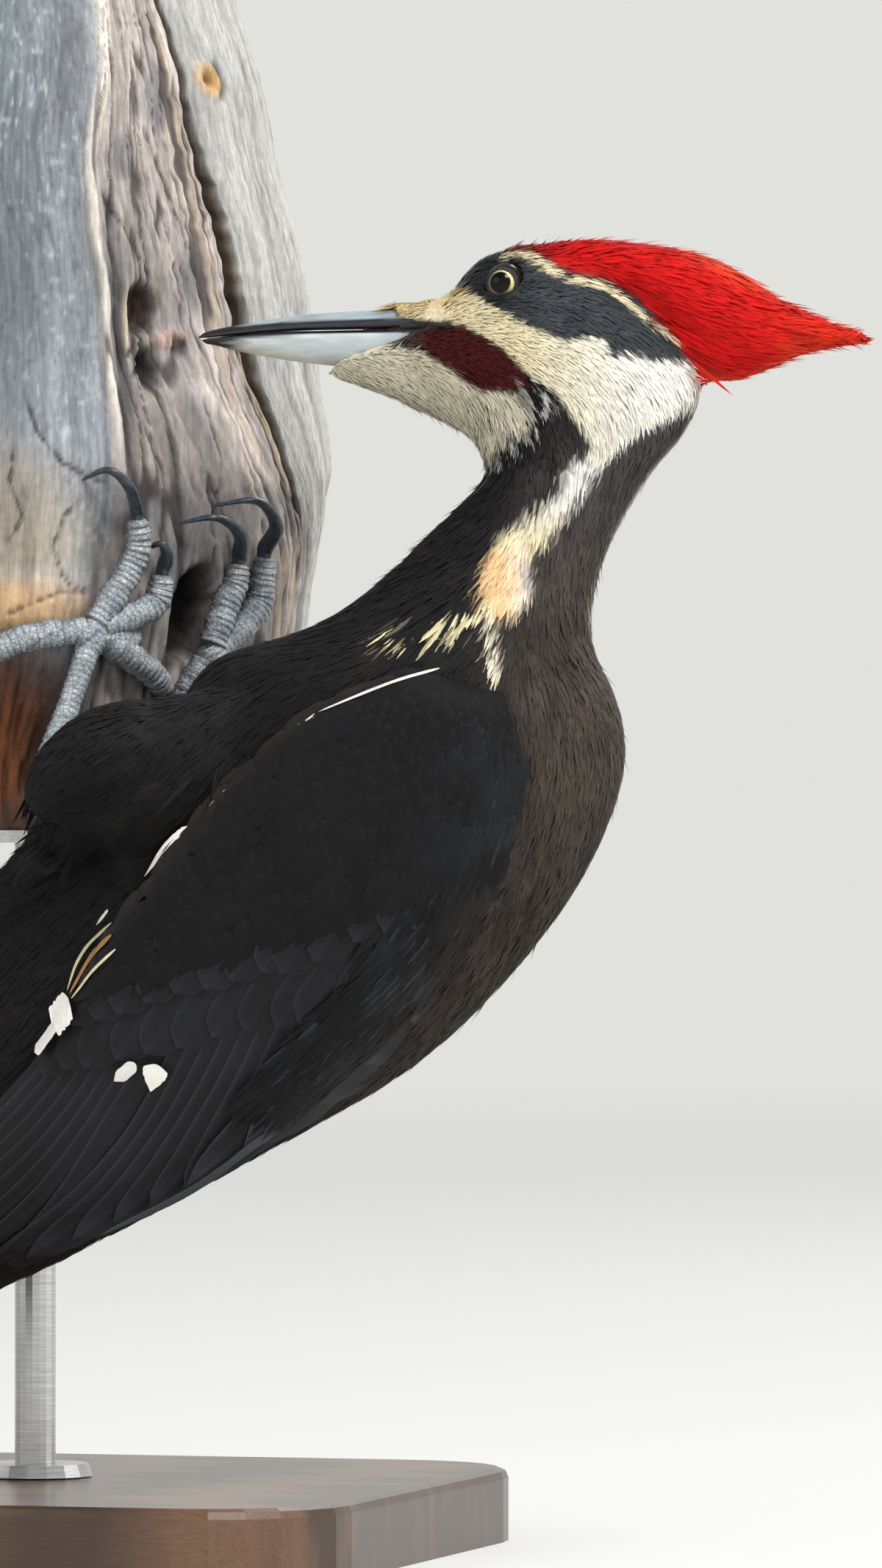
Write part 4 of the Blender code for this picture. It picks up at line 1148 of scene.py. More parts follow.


# white and tan marks on the folded wing, and painted highlights along two of its edges: centre line
# (x, z), half width, height, colour, tip
wingMarks = [
    ([(-79.6, 176.8), (-84.8, 172.9), (-92.4, 165.2)], 1.25, 1.3, "cheekWhite", "pointed"),
    ([(-103.0, 157.4), (-106.3, 153.7)], 0.45, 2.2, "white", "pointed"),
    ([(-100.1, 154.4), (-107.7, 149.4), (-111.7, 143.8), (-112.9, 138.2)], 0.5, 2.5, "cream",
     "narrow"),
    ([(-98.9, 151.6), (-105.4, 146.9), (-108.8, 142.1), (-111.4, 137.6)], 0.85, 2.4, "tan",
     "narrow"),
    ([(-97.2, 148.3), (-103.6, 143.2), (-107.0, 139.6), (-110.0, 136.5)], 0.42, 2.5, "cream",
     "narrow"),
    ([(-110.2, 136.2), (-115.6, 130.6)], 4.7, 3.3, "white", "square"),
    ([(-112.4, 132.4), (-119.8, 123.8)], 1.9, 3.2, "white", "square"),
    ([(-94.6, 121.4), (-97.6, 119.0), (-100.0, 117.2)], 1.7, 0.95, "white", "pointed"),
    ([(-89.6, 121.2), (-90.6, 118.0), (-91.6, 114.8)], 3.1, 0.95, "white", "wedge"),
    ([(-19.8, 213.8), (-31.2, 210.3), (-48.0, 203.7)], 0.38, 1.9, "cheekWhite", "narrow"),
    ([(-48.6, 203.0), (-51.2, 201.0)], 0.9, 1.2, "cheekWhite", "round"),
    # painted highlight: a pale line along the wing's leading edge
    ([(-52.0, 201.8), (-64.0, 192.4), (-79.0, 177.6)], 0.32, 1.2, "edge", "narrow"),
    # painted highlight: a slate-grey line along the lower edge of the folded wing
    ([(-62.0, 107.6), (-84.0, 92.0), (-108.0, 80.6)], 0.9, 0.9, "slate", "narrow"),
    ([(-6.4, 184.0), (-10.6, 176.0), (-12.4, 169.0)], 0.4, 1.2, "throat", "narrow"),
]


def addMarks(sheet, sign, vanes):
    for line, half, level, colour, tip in wingMarks:
        if sign > 0 and colour in ("slate", "throat"):     # they lie off the far wing's edge
            continue
        centre = curveThrough(line, 7)
        vanes.add(centre, squareTo(centre), half, half, layOn(sheet, sign, level),
                  plumage[colour], tip, camber=0.15, shaft=0.0, rows=18, columns=7, ragged=0.12,
                  rim=0.0, quill=1.0, flip=sign < 0)


# Soft small feathers over the shoulder, and scapulars along the wing's upper edge
def addSmallCoverts(sheet, sign, rng):
    tree = sheet.tree(sign)
    for zone in ("lesser", "scapular"):
        if zone == "lesser":
            count = smallCoverts["count"]
            across = rng.uniform(0.0, 1.0, count)
            edge = smallCoverts["lead"] * (1 - across) + smallCoverts["trail"] * across
            along = edge * rng.random(count) - 0.012
        else:
            count = smallCoverts["scapulars"]
            along = rng.uniform(0.0, 0.50, count)
            across = rng.uniform(0.0, 1.0, count) ** 0.6 * 0.22 + 0.76
        flat = sheet.at(along, np.minimum(across, 1.02))
        flat[:, 1] += np.where(along < 0, -along * 60, 0)
        roots = np.c_[flat[:, 0], sign * (sheet.out(flat) - 0.2), flat[:, 1]]
        normals = np.array([tree.find_nearest(spot)[1] for spot in toWorld(roots)])
        patch = latticeNoise(roots / (6.0, 6.0, 9.0), 3)[:, None]
        base = np.tile(linear(plumage["wingBlack"]), (count, 1)) * (0.75 + 0.7 * patch)
        # painted highlight: a brown rim on the lesser coverts along the wing's leading edge
        rim = soft(0.04 - across, 0.04) * soft(0.5 - along, 0.2) * 0.22
        base = over(base, linear(plumage["mantle"]), rim if zone == "lesser" else 0.0)
        grey = soft((across - 0.80) * 40, 6.0) * soft(0.42 - along, 0.4)
        grey = grey * clamp(patch * 1.8 - 0.5)
        base = over(base, linear(plumage["slate"]), grey * (0.30 if zone == "lesser" else 0.36))
        if zone == "scapular":
            base = over(base, linear(plumage["mantle"]), soft((across - 0.95) * 40, 3.0)
                        * soft(0.35 - along, 0.3) * 0.4)
            base = over(base, linear(plumage["rim"]), (rng.random((count, 1)) < 0.10) * 0.4)
        growZone(zone, roots, normals, tree, rng, sheet.flow, base,
                 f"{zone}_{'left' if sign < 0 else 'right'}")


def buildWings(left, right):
    rng = np.random.default_rng(21)
    for (name, sign), sheet in zip(bothSides, (left, right)):
        quills, coverts = Vanes(rng), Vanes(rng)
        addFlight(sheet, sign, quills)
        addCoverts(sheet, sign, coverts, rng)
        addMarks(sheet, sign, coverts)
        addSmallCoverts(sheet, sign, rng)
        quills.build(f"wing_{name}_quills", coatMaterials["vane"], f"wing_{name}")
        coverts.build(f"wing_{name}_coverts", coatMaterials["covert"])


tailSettings = {
    "top": [(-88.0, 93.0), (-112.0, 80.0), (-138.0, 68.4), (-165.0, 58.4), (-194.0, 49.4),
            (-216.5, 42.6), (-235.0, 37.0)],
    "pairs": 5, "halfBreadth": 30.0, "spread": (2.2, 13.5), "widths": (5.4, 5.4),
    "step": (0.0, 0.04, 0.10, 0.17, 0.25),
}


def buildTail():
    rng = np.random.default_rng(33)
    top = curveThrough(tailSettings["top"], 60)
    reach = np.linspace(0, 1, 60)
    head = unit(np.gradient(top, axis=0))
    under = np.c_[head[:, 1], -head[:, 0]]          # towards the tail's underside
    if under[30, 1] < 0:
        under = -under
    vanes = Vanes(rng)
    breadth = tailSettings["halfBreadth"]

    def place(level):
        def put(grid, raised):
            share = clamp(grid[..., 0])
            y = grid[..., 1] * breadth
            x0, z0, ux, uz = (np.interp(share, reach, row)
                              for row in (*top[:, :2].T, *under.T))
            depth = level - raised + 0.014 * y ** 2
            return np.stack([x0 + ux * depth, y, z0 + uz * depth], -1)
        return put

    inner, outer = tailSettings["spread"]
    for k in reversed(range(tailSettings["pairs"])):
        f = k / (tailSettings["pairs"] - 1)
        tip = 1.0 - tailSettings["step"][k]
        for sign in (-1, 1):
            middle = sign * (inner + (outer - inner) * f) / breadth
            start = sign * (1.0 + 5.5 * f) / breadth
            centre = np.array([(0.0, start), (0.35, start * 0.5 + middle * 0.5),
                               (0.7, middle), (tip, middle)])
            side = np.tile([0.0, float(sign)], (4, 1))
            lead, trail = (np.array(tailSettings["widths"]) + (0.0, 0.9)) / breadth
            vanes.add(centre, side, lead, trail, place(0.8 + 0.75 * k + (0.2 if sign > 0 else 0)),
                      plumage["black"], "pointed", camber=0.5, rows=60, columns=9, shaft=0.75,
                      ragged=0.12, flip=sign > 0)
    vanes.build("tail_feathers", coatMaterials["vane"])


eyeSettings = {"centre": (-10.4, 8.5, 303.9), "radius": 5.0, "pupil": 2.5, "iris": 3.35,
               "ring": (3.3, 4.15), "ringShift": (-0.05, 0.0), "ringCentre": (-10.4, 303.9),
               "axis": (-0.02, 1.0, 0.05)}


def buildEyes():
    for name, sign in bothSides:
        centre = np.array(eyeSettings["centre"]) * (1, sign, 1)
        axis = Vector((eyeSettings["axis"][0], sign * eyeSettings["axis"][1],
                       eyeSettings["axis"][2])).normalized()
        turn = axis.to_track_quat("Z", "Y").to_matrix()
        radius = eyeSettings["radius"]
        rings = []
        for k in range(40):
            angle = math.pi * 0.62 * k / 39
            r = radius * math.sin(angle)
            bulge = 0.55 * max(0.0, 1 - (r / 3.6) ** 2) if angle < 1.2 else 0.0
            height = radius * math.cos(angle) + bulge
            rings.append((max(r, 0.01), height))
        circle = [[toWorld(centre + np.array(turn @ Vector((r * math.cos(a), r * math.sin(a), h))))
                   for a in np.linspace(0, math.tau, 48, endpoint=False)] for r, h in rings[::-1]]
        eye = addPiece(f"eyeball_{name}", loft(circle), eyeMaterial())
        points = toBird(vertexArray(eye.data)) - centre
        local = points @ np.array(turn)
        r = np.hypot(local[:, 0], local[:, 1])
        angle = np.arctan2(local[:, 1], local[:, 0])
        fibres = latticeNoise(np.c_[angle * 14, r * 0.8, r * 0], 4)
        iris = linear((222, 206, 142)) * (0.75 + 0.45 * fibres[:, None])
        # painted shade: the iris is darkened over its front and lower part, and towards its outer
        # edge
        dark = linear((92, 84, 80))
        front = soft(local @ (np.array(turn).T @ (-0.8, 0.0, -0.6)) + 0.9, 1.3)
        shaded = clamp((r - 2.95) / 0.5)[:, None] * 0.6
        shaded = np.maximum(shaded, front * 0.92)
        iris = over(iris, dark, shaded)
        colour = np.where((r < eyeSettings["pupil"])[:, None], linear((1, 1, 1)), iris)
        colour = np.where((r > eyeSettings["iris"])[:, None], linear((30, 26, 24)), colour)
        paintVertices(eye.data, colour)
        settle(eye, "eye", f"eye_{name}")
        buildEyeRing(name, sign, centre, np.array(turn), radius)


# Bare, finely wrinkled skin round the eye, with the upper lid a little lower
def buildEyeRing(name, sign, centre, turn, radius):
    inner, outer = eyeSettings["ring"]
    rng = np.random.default_rng(5)
    count, around = 72, 12
    rings = []
    for k in range(count):
        a = math.tau * k / count
        lid = 0.28 * max(0.0, math.sin(a))          # fuller above
        ring = []
        for j in range(around):
            b = math.tau * j / around
            half = (outer - inner) / 2
            r = (inner + outer) / 2 - lid * 0.6 + half * math.cos(b)
            bead = 0.10 * rng.random() if math.sin(b) > 0 else 0.0
            h = math.sqrt(max(radius ** 2 - r ** 2, 1.0)) + 0.2 + (0.36 + bead + lid) * math.sin(b)
            ring.append((r * math.cos(a), r * math.sin(a) * 0.94, h))
        rings.append(ring)
    points = np.array(rings).reshape(-1, 3) @ turn.T + centre
    points[:, [0, 2]] += eyeSettings["ringShift"]
    points = toWorld(points)
    index = np.arange(count * around).reshape(count, around)
    after = np.roll(index, -1, axis=0)
    quads = np.stack([index, after, np.roll(after, -1, axis=1), np.roll(index, -1, axis=1)], -1)
    quads = quads.reshape(-1, 4)
    if sign < 0:
        quads = quads[:, ::-1]
    ring = meshFromArrays(f"eye_ring_{name}", points, quads, ringMaterial())
    fixNormals(ring)
    settle(ring, "foot_scales")


def fixNormals(piece, weld=0.0):
    bm = bmesh.new()
    bm.from_mesh(piece.data)
    if weld:
        bmesh.ops.remove_doubles(bm, verts=bm.verts, dist=weld)
    bmesh.ops.recalc_face_normals(bm, faces=bm.faces)
    bm.to_mesh(piece.data)
    bm.free()


def eyeMaterial():
    n = Nodes("eye_iris_and_pupil")
    n.set(Roughness=0.2, Coat_Weight=0.15, Coat_Roughness=0.03, Specular_IOR_Level=0.15)
    return n.finish(n.paint())


def ringMaterial():
    n = Nodes("bare_eye_skin")
    n.set(Roughness=0.8, Specular_IOR_Level=0.12)
    grain = n.noise(n.coords(), 2600.0, 3.0)
    colour = n.ramp(grain, [(0.3, (0.010, 0.010, 0.011)), (0.7, (0.062, 0.058, 0.064))])
    return n.finish(colour, n.bump(grain, 0.6, 0.0002))


# x, top z, bottom z and half width, tip to root
billStations = {
    "upper": [(-88.4, 293.3, 292.4, 1.5), (-84.0, 294.5, 292.7, 2.2), (-75.0, 296.0, 293.4, 3.2),
              (-62.4, 297.7, 294.0, 4.4), (-51.0, 298.3, 294.1, 5.4), (-40.0, 298.8, 294.2, 6.2),
              (-28.0, 299.0, 294.6, 6.6)],
    "lower": [(-87.5, 292.1, 291.2, 1.4), (-84.0, 292.5, 290.6, 1.9), (-78.0, 293.1, 289.1, 2.7),
              (-67.3, 293.7, 287.1, 3.8), (-59.2, 293.8, 286.0, 4.4), (-48.0, 293.9, 284.9, 5.2),
              (-31.0, 294.1, 283.8, 5.8)],
}


def buildBill():
    for name, stations in billStations.items():
        rows = curveThrough(stations, 90)
        rings = []
        for k, (x, top, bottom, half) in enumerate(rows):
            ring = []
            tipRound = math.sqrt(min(1.0, (k + 0.4) / 6))
            for j in range(40):
                a = math.tau * j / 40
                up, side = math.cos(a), math.sin(a)
                above, below = max(up, 0), max(-up, 0)
                if name == "upper":
                    middle = bottom + (top - bottom) * 0.12
                    z = middle + (top - middle) * above ** 0.9 - (middle - bottom) * below
                    keel = 1 - 0.20 * above ** 2     # flat sides under a ridged culmen
                    groove = 0.28 * math.exp(-((up - 0.42) / 0.12) ** 2)
                    groove *= min(1, max(0, (x + 84) / 14))
                else:
                    middle = bottom + (top - bottom) * 0.84
                    z = middle + (top - middle) * above - (middle - bottom) * below ** 0.95
                    keel = 1 - 0.12 * below ** 2
                    groove = 0.0
                y = math.copysign(abs(side) ** 0.85, side) * half * keel
                y -= math.copysign(groove, side)
                ring.append(toWorld((x, y * tipRound, middle + (z - middle) * tipRound)))
            rings.append(ring)
        bill = addPiece(f"bill_{name}_horn", loft(rings), billMaterial(name))
        paintBill(bill, name)
        settle(bill, "bill_horn", f"bill_{name}")


# Black tip and cutting edge, pale blue-grey culmen, bluish white lower bill
def paintBill(bill, name):
    x, y, z = toBird(vertexArray(bill.data)).T
    noise = latticeNoise(np.c_[x / 5.0, y / 2.0, z / 0.7], 8)
    black = linear((20, 20, 24))
    tip = clamp((-77.5 - x + noise * 6) / 7)[:, None]
    if name == "upper":
        rows = curveThrough(billStations["upper"], 90)
        order = np.argsort(rows[:, 0])
        top = np.interp(x, rows[order, 0], rows[order, 1])
        bottom = np.interp(x, rows[order, 0], rows[order, 2])
        share = (z - bottom) / (top - bottom + 1e-6)
        edge = np.interp(x, [-80, -66, -45, -30], [0.75, 0.58, 0.46, 0.42])
        band = clamp((edge - share + noise * 0.10) / 0.10)[:, None]
        pale = linear((150, 162, 166)) * (0.80 + 0.4 * noise[:, None])
        colour = over(pale, linear((34, 34, 42)), band)
    else:
        level = np.interp(x, [-84, -60, -31], [290.6, 286.2, 283.8])
        share = (z - level) / 8.0
        pale = linear((196, 204, 206)) * (0.84 + 0.28 * noise[:, None])
        cream = linear((196, 184, 150)) * (0.8 + 0.4 * noise[:, None])
        low = clamp(0.75 - share * 2.4)[:, None]
        rear = clamp((x + 62) / 26)[:, None]
        colour = pale * (1 - low * 0.75) + cream * low * 0.75
        colour = colour * (1 - rear * 0.35) + linear((150, 162, 176)) * rear * 0.35
        edge = (z - np.interp(x, [-84, -60, -31], [291.7, 292.8, 293.0])) / 0.4
        edge = clamp(edge)[:, None]
        colour = colour * (1 - edge * 0.92) + black * edge * 0.92
    colour = over(colour, black, tip)
    paintVertices(bill.data, colour)


# The black line of the mouth, which runs on into the feathering
def buildGape(skin):
    tree = treeOf(skin)
    for name, sign in bothSides:
        route = []
        for x, z in ((-37.0, 294.6), (-32.0, 294.6), (-27.0, 294.5), (-22.4, 294.2)):
            hit = tree.ray_cast(Vector(toWorld((x, sign * 60.0, z))), (0, -sign, 0))[0]
            route.append(toBird(hit) + (0, sign * 0.55, 0))
        path = curveThrough(route, 40)
        radii = np.interp(np.linspace(0, 1, 40), [0, 0.5, 0.9, 1.0], [0.95, 0.75, 0.4, 0.12])
        outward = np.tile([0.0, float(sign), 0.0], (40, 1))
        gape = addPiece(f"gape_{name}", loft(tubeRings(path, radii, 14, outward)),
                        plainMaterial(f"gape_{name}_black", (0.008, 0.008, 0.010), 0.5))
        settle(gape, "bill_horn")


def billMaterial(name):
    n = Nodes(f"bill_horn_{name}")
    n.set(Roughness=0.36)
    tint = n.paint()
    lines = n.noise(n.coords((12.0, 90.0, 140.0)), 9.0, 4.0)
    scuffs = n.noise(n.coords((60.0, 300.0, 300.0)), 6.0, 5.0)
    colour = n.blend("MULTIPLY", 0.5, tint, n.greys(lines, 0.3, 0.7, 0.7, 1.2))
    rough = n.greys(scuffs, 0.3, 0.26, 0.7, 0.5)
    return n.finish(colour, n.bump(lines, 0.3, 0.00025), rough)


perch = {
    "axis": (-173.0, 62.0), "front": -74.0, "low": 176.0, "high": 381.0,
    "stations": [(176.0, -3.0, 86.0), (225.0, -1.0, 88.6), (262.0, 0.0, 93.3),
                 (304.0, -2.5, 90.8), (348.0, -9.0, 87.5), (381.0, -14.0, 84.0)],
    "hollows": [(-4.0, 190.0, 24.0, 16.0, 17.0), (37.0, 292.0, 7.0, 13.0, 4.0),
                (44.0, 212.0, 7.0, 10.0, 4.0)],
    "rows": 212, "endRings": 12, "degree": 1.58,       # millimetres of surface for one degree
    # share of the columns and the angle each reaches, finest beside the crack
    "columns": [(0.0, -158.0), (0.09, -40.0), (0.17, 8.0), (0.50, 52.6), (0.57, 54.9),
                (0.66, 57.0), (0.74, 61.0), (0.89, 84.0), (0.93, 102.0), (1.0, 202.0)],
    "crack": [(176, 78), (236, 78), (243.6, 76.3), (250.5, 71.4), (256, 67.9), (264.3, 63.1),
              (271.7, 60.4), (277.2, 57.5), (281.3, 55.9), (289, 54.8), (296.7, 53.6), (306, 52.4),
              (331, 51.9), (352, 50.8), (371, 50.3), (381, 49.8)],
    "crackWidth": [(176, 0.3), (238, 0.6), (246, 1.6), (262, 3.4), (276, 5.4), (300, 6.6),
                   (330, 6.4), (350, 5.0), (381, 3.6)],
    "seam": [(176, 27), (279, 29), (300, 29.6), (318, 29.2), (336, 31.5), (371, 38), (381, 39)],
}
# thin dark flake edges and splinters (angle, height), with depth in millimetres
flakes = [
    ([(15, 281), (16.5, 270), (20, 263), (24, 259.5), (27.5, 258)], 0.5),
    ([(24, 256), (20.6, 250), (19.4, 243), (21.6, 235), (25.8, 231)], 0.5),
    ([(13, 268), (12.4, 258), (14.6, 250), (12.2, 243)], 0.5),
    ([(12.0, 226.5), (16.4, 229.5), (21.0, 232.4), (26.6, 233.0)], 0.7),
    ([(31.8, 287.2), (34.6, 290.4), (37.6, 292.6)], 1.0), ([(38.4, 289.6), (35.6, 284.6)], 1.2),
    ([(33.0, 283.4), (36.0, 286.4), (39.4, 285.0)], 0.8), ([(36.6, 281.5), (38.0, 275.0)], 0.8),
    ([(31, 330), (34.4, 318), (38.6, 306)], 0.6), ([(42, 345), (45, 326), (47.4, 303)], 0.8),
    ([(33, 274), (36.4, 262), (38.0, 248)], 0.7), ([(45, 280), (47, 262), (46.4, 246)], 0.6),
]


# Lean and radius of the trunk's large form at angles from its front, in degrees
def perchForm(angle, height):
    stations = np.array(perch["stations"])
    i = np.clip(np.searchsorted(stations[:, 0], height, side="left") - 1, 0, len(stations) - 2)
    t = clamp((height - stations[i, 0]) / (stations[i + 1, 0] - stations[i, 0]))
    t = t * t * (3 - 2 * t) * 0.5 + t * 0.5
    lean = stations[i, 1] + (stations[i + 1, 1] - stations[i, 1]) * t
    radius = stations[i, 2] + (stations[i + 1, 2] - stations[i, 2]) * t
    turn = np.radians(angle)
    fade = 0.5 - 0.5 * np.cos(turn - math.radians(60.0))
    lobes = 2.6 * np.sin(3 * turn + 0.6) + 1.8 * np.sin(5 * turn + height * 0.012)
    radius = radius + fade * lobes
    for *hollow, depth in perch["hollows"]:
        radius = radius - depth * bumpAt(angle, height, *hollow)
    return lean, radius


def onPerch(angle, height, lift):
    angle, height = np.broadcast_arrays(np.asarray(angle, float), np.asarray(height, float))
    lean, radius = perchForm(angle, height)
    compass = np.radians(perch["front"] + angle)
    aside = math.radians(perch["front"] + 90.0)
    return np.stack([perch["axis"][0] + lean * math.cos(aside) + (radius + lift) * np.cos(compass),
                     perch["axis"][1] + lean * math.sin(aside) + (radius + lift) * np.sin(compass),
                     height + 0 * angle], -1)


def bumpAt(angle, height, a, h, wide, tall, power=2.0):
    away = np.hypot((((angle - a + 180) % 360) - 180) / wide, (height - h) / tall)
    return np.exp(-away ** power)


# Fine relief in millimetres and the wood's colour, with painted shade in its hollows and crack
def perchRelief(angle, height, crackAt):
    seamAt = np.interp(height, *np.array(perch["seam"]).T)
    far = clamp(np.maximum(-34 - angle, angle - 96) / 14)      # the plain side and back
    degree = perch["degree"]
    gap = (angle - crackAt) * degree                   # millimetres right of the crack's edge
    middle = clamp((angle - seamAt) / np.maximum(crackAt - seamAt, 4.0))
    across = np.where(angle < seamAt, (angle - seamAt) * degree, middle * 38.0)
    across = across + np.clip(gap, 0, None)
    arc = np.c_[across, height]                        # roughly millimetres round and up

    def grain(wide, tall, seed):
        return latticeNoise(arc / (wide, tall), seed)

    def spot(*place):
        return bumpAt(angle, height, *place)

    wander = (grain(7.0, 30.0, 1) - 0.5) * 2.0
    seamGap = (angle - seamAt) * degree + wander * 1.2
    ridge = clamp(gap / 2.0) * clamp((125 - angle) / 20)
    smoothZone = clamp(-seamGap / 3.0) * clamp((angle + 60) / 30)
    rough = 1 - 0.8 * smoothZone - 0.7 * ridge
    coarse = grain(9.0, 45.0, 2) - 0.5
    strands = grain(2.1, 34.0, 3)
    fibre = latticeNoise(np.c_[across + height * 0.16, height] / (0.9, 17.0), 5)
    fine = grain(0.6, 8.0, 4) - 0.5
    pits = grain(3.0, 3.6, 6) - 0.5
    grooves = clamp(1.6 - np.abs(strands - 0.5) * 16) * rough
    grooves = grooves * (1 - far)
    relief = (fibre * 1.3 + fine * 0.7) * rough
    relief = relief + pits * 0.4 * (1 - 0.5 * smoothZone) - grooves * 0.9
    relief = relief * (1 - far) + coarse * 2.0
    relief = relief + (grain(16.0, 90.0, 18) - 0.5) * far * 2.5
    relief += ridge * 1.2 * np.clip(gap / 9, 0.3, 1)
    crest = np.exp(-(seamGap / 1.5) ** 2) * clamp((height - 262) / 20)
    valley = np.exp(-((seamGap - 4.5) / 2.6) ** 2) * spot(angle, 298, 1, 30, 4)
    relief += 1.1 * crest - 1.6 * valley
    wide = np.interp(height, *np.array(perch["crackWidth"]).T)
    wall = clamp(gap / 0.5) * clamp((wide - gap) / (wide * 0.72)) ** 0.75
    relief -= wall * np.clip(wide * 2.0, 0, 8.5)
    jag = grain(2.2, 3.0, 13) * 3.2
    hole = spot(36.0 + jag * 0.22, 299.0 + jag * 0.6, 2.7, 5.6, 5.0)
    lower = spot(36.9 + (height - 286) * 0.06, 285.6, 1.7, 4.8, 4.0)
    chip = spot(41.0, 293.0 + (angle - 41) * 0.25, 2.6, 2.2, 4.0)
    sliver = spot(33.3, 295.5, 0.55, 8.5, 4.0)
    cavity = spot(45.6 + jag * 0.25, 227.0 + jag * 0.5, 4.3, 10.6, 8.0)
    rot = spot(7.0, 193.0 + wander, 20.0, 26.5, 6.0)
    ledge = spot(10.0, 231.0, 18.0, 6.5, 3.0)
    knot = np.hypot((angle - 59.8) * 0.99, height - 356.0)
    knotShade = np.exp(-((knot - 4.0) / 1.3) ** 2) * clamp((angle - 59.8) / 3)
    chips = (grain(1.6, 7.0, 8) - 0.4) * 3.0
    relief -= hole * (5.0 + chips) + lower * 5.0 + cavity * 12.0 + rot * (5.0 + chips)
    relief += chip * 1.6 + sliver * 1.6 + ledge * 1.2
    knotRise = 1.0 * np.exp(-((knot - 3.6) / 1.3) ** 2) - 1.8 * np.exp(-(knot / 1.6) ** 2)
    relief += knotRise - 2 * knotShade
    dark = np.zeros(len(angle))
    for line, deep in flakes:
        off, share = nearLine(angle * degree, height, [(a * degree, h) for a, h in line])
        off = off + (latticeNoise(arc / 1.6, 15) - 0.5) * 0.8
        mark = np.exp(-(off / 0.42) ** 2)
        mark = mark * clamp(share * 8) * clamp((1 - share) * 8)
        relief -= mark * deep
        dark = np.maximum(dark, mark * 0.8)

    tone = grain(5.0, 40.0, 11)[:, None]
    calm = (1 - far)[:, None]
    speck = grain(0.9, 7.0, 12)[:, None] * calm + 0.5 * (1 - calm)
    tone = tone * calm + grain(14.0, 70.0, 19)[:, None] * (1 - calm)
    blotch = grain(9.0, 14.0, 16) * (1 - far) + 0.4 * far
    mould = grain(1.1, 1.9, 17) * (1 - far) + 0.5 * far

    def mix(base, other, amount):
        return over(base, linear(other) if isinstance(other, tuple) else other,
                    clamp(amount)[:, None])

    def lay(other, amount):
        nonlocal colour
        colour = mix(colour, other, amount)

    fibrous = linear((186, 176, 170)) * (0.66 + 0.6 * tone) * (0.72 + 0.55 * speck)
    fibrous = mix(fibrous, linear((178, 152, 116)) * (0.6 + 0.6 * speck),
                  clamp(middle * 2.4 - 1.5) * np.clip(strands * 3 - 1.2, 0, 0.75))
    fibrous = mix(fibrous, (112, 112, 120), np.clip(blotch * 3 - 1.7, 0, 0.6))
    slate = linear((150, 155, 162)) * (0.74 + 0.5 * tone) * (0.85 + 0.3 * speck)
    slate = mix(slate, linear((98, 112, 116)) * (0.7 + 0.6 * speck),
                clamp(-seamGap / 22 - 0.35) * np.clip((height - 268) / 40, 0, 0.85))
    slate = mix(slate, (206, 208, 212), np.clip(mould * 5 - 4.0, 0, 0.45))
    slate = mix(slate, (70, 76, 84), np.clip(0.9 - mould * 5, 0, 0.35))
    pale = linear((174, 173, 170)) * (0.8 + 0.4 * tone) * (0.9 + 0.2 * speck)
    colour = mix(fibrous, slate, smoothZone)
    lay(pale, ridge * clamp(gap / 8 + 0.35))
    # painted highlight on the raised seam ridge, painted shade in the sunk valley beside it
    lay((222, 216, 204), crest * 0.75)
    lay((84, 84, 92), valley * 0.7)
    lay(linear((196, 182, 162)) * (0.75 + 0.5 * tone), spot(8.0, 241.0, 16.5, 26.0, 5.0) * 0.8)
    lay(linear((204, 164, 118)) * (0.8 + 0.4 * speck), spot(10.0, 228.0, 18.0, 7.0, 4.0) * 0.85)
    fading = np.clip(1.25 - (angle - 8)[:, None] / 26, 0.3, 1)
    lay(linear((172, 98, 44)) * (0.35 + 1.1 * speck) * fading, rot)
    # painted shade: the rotted hollow turns near black towards its right side and its bottom
    lay((24, 15, 11), rot * np.clip((angle - 19) / 5, 0, 0.9)
        + rot * np.clip((188 - height) / 14, 0, 0.8))
    lay(linear((96, 46, 38)) * (0.3 + 1.0 * speck), hole)
    # painted shade: near black in patches of the peck hole and in its deeper lower part
    lay((14, 8, 8), hole * clamp(mould * 4 - 1.6) + lower)
    lay(linear((176, 146, 132)) * (0.7 + 0.5 * speck), chip)
    lay((214, 200, 176), sliver * 0.8)
    # painted shade: the deep cavity is near black
    lay((10, 8, 7), cavity * 1.4)
    # painted shade: the crack is near black at its deep left side and brown up its right wall
    brown = mix(linear((112, 84, 58)) * (0.6 + 0.7 * speck), (9, 7, 6),
                clamp(2.6 - gap / np.maximum(wide, 0.5) * 2.7))
    lay(brown, clamp(wall * 3.2) * (height > 237))
    # painted shade: darker in the grain grooves and along the sunk flake edges
    lay((46, 38, 34), np.maximum(grooves * 0.75, dark))
    lay(linear((186, 146, 88)) * (0.7 + 0.6 * speck), np.exp(-(knot / 4.2) ** 4))
    # painted shade: a dark arc on one side of the knot and a dark pit at its middle
    lay((24, 16, 12), np.maximum(knotShade, np.exp(-(knot / 1.2) ** 2) * 0.8))
    # painted light and shade: the colour darkens where the relief sinks and lightens where it rises
    low = np.clip(0.72 + relief * 0.22, 0.4, 1.08)[:, None]
    return relief, colour * low


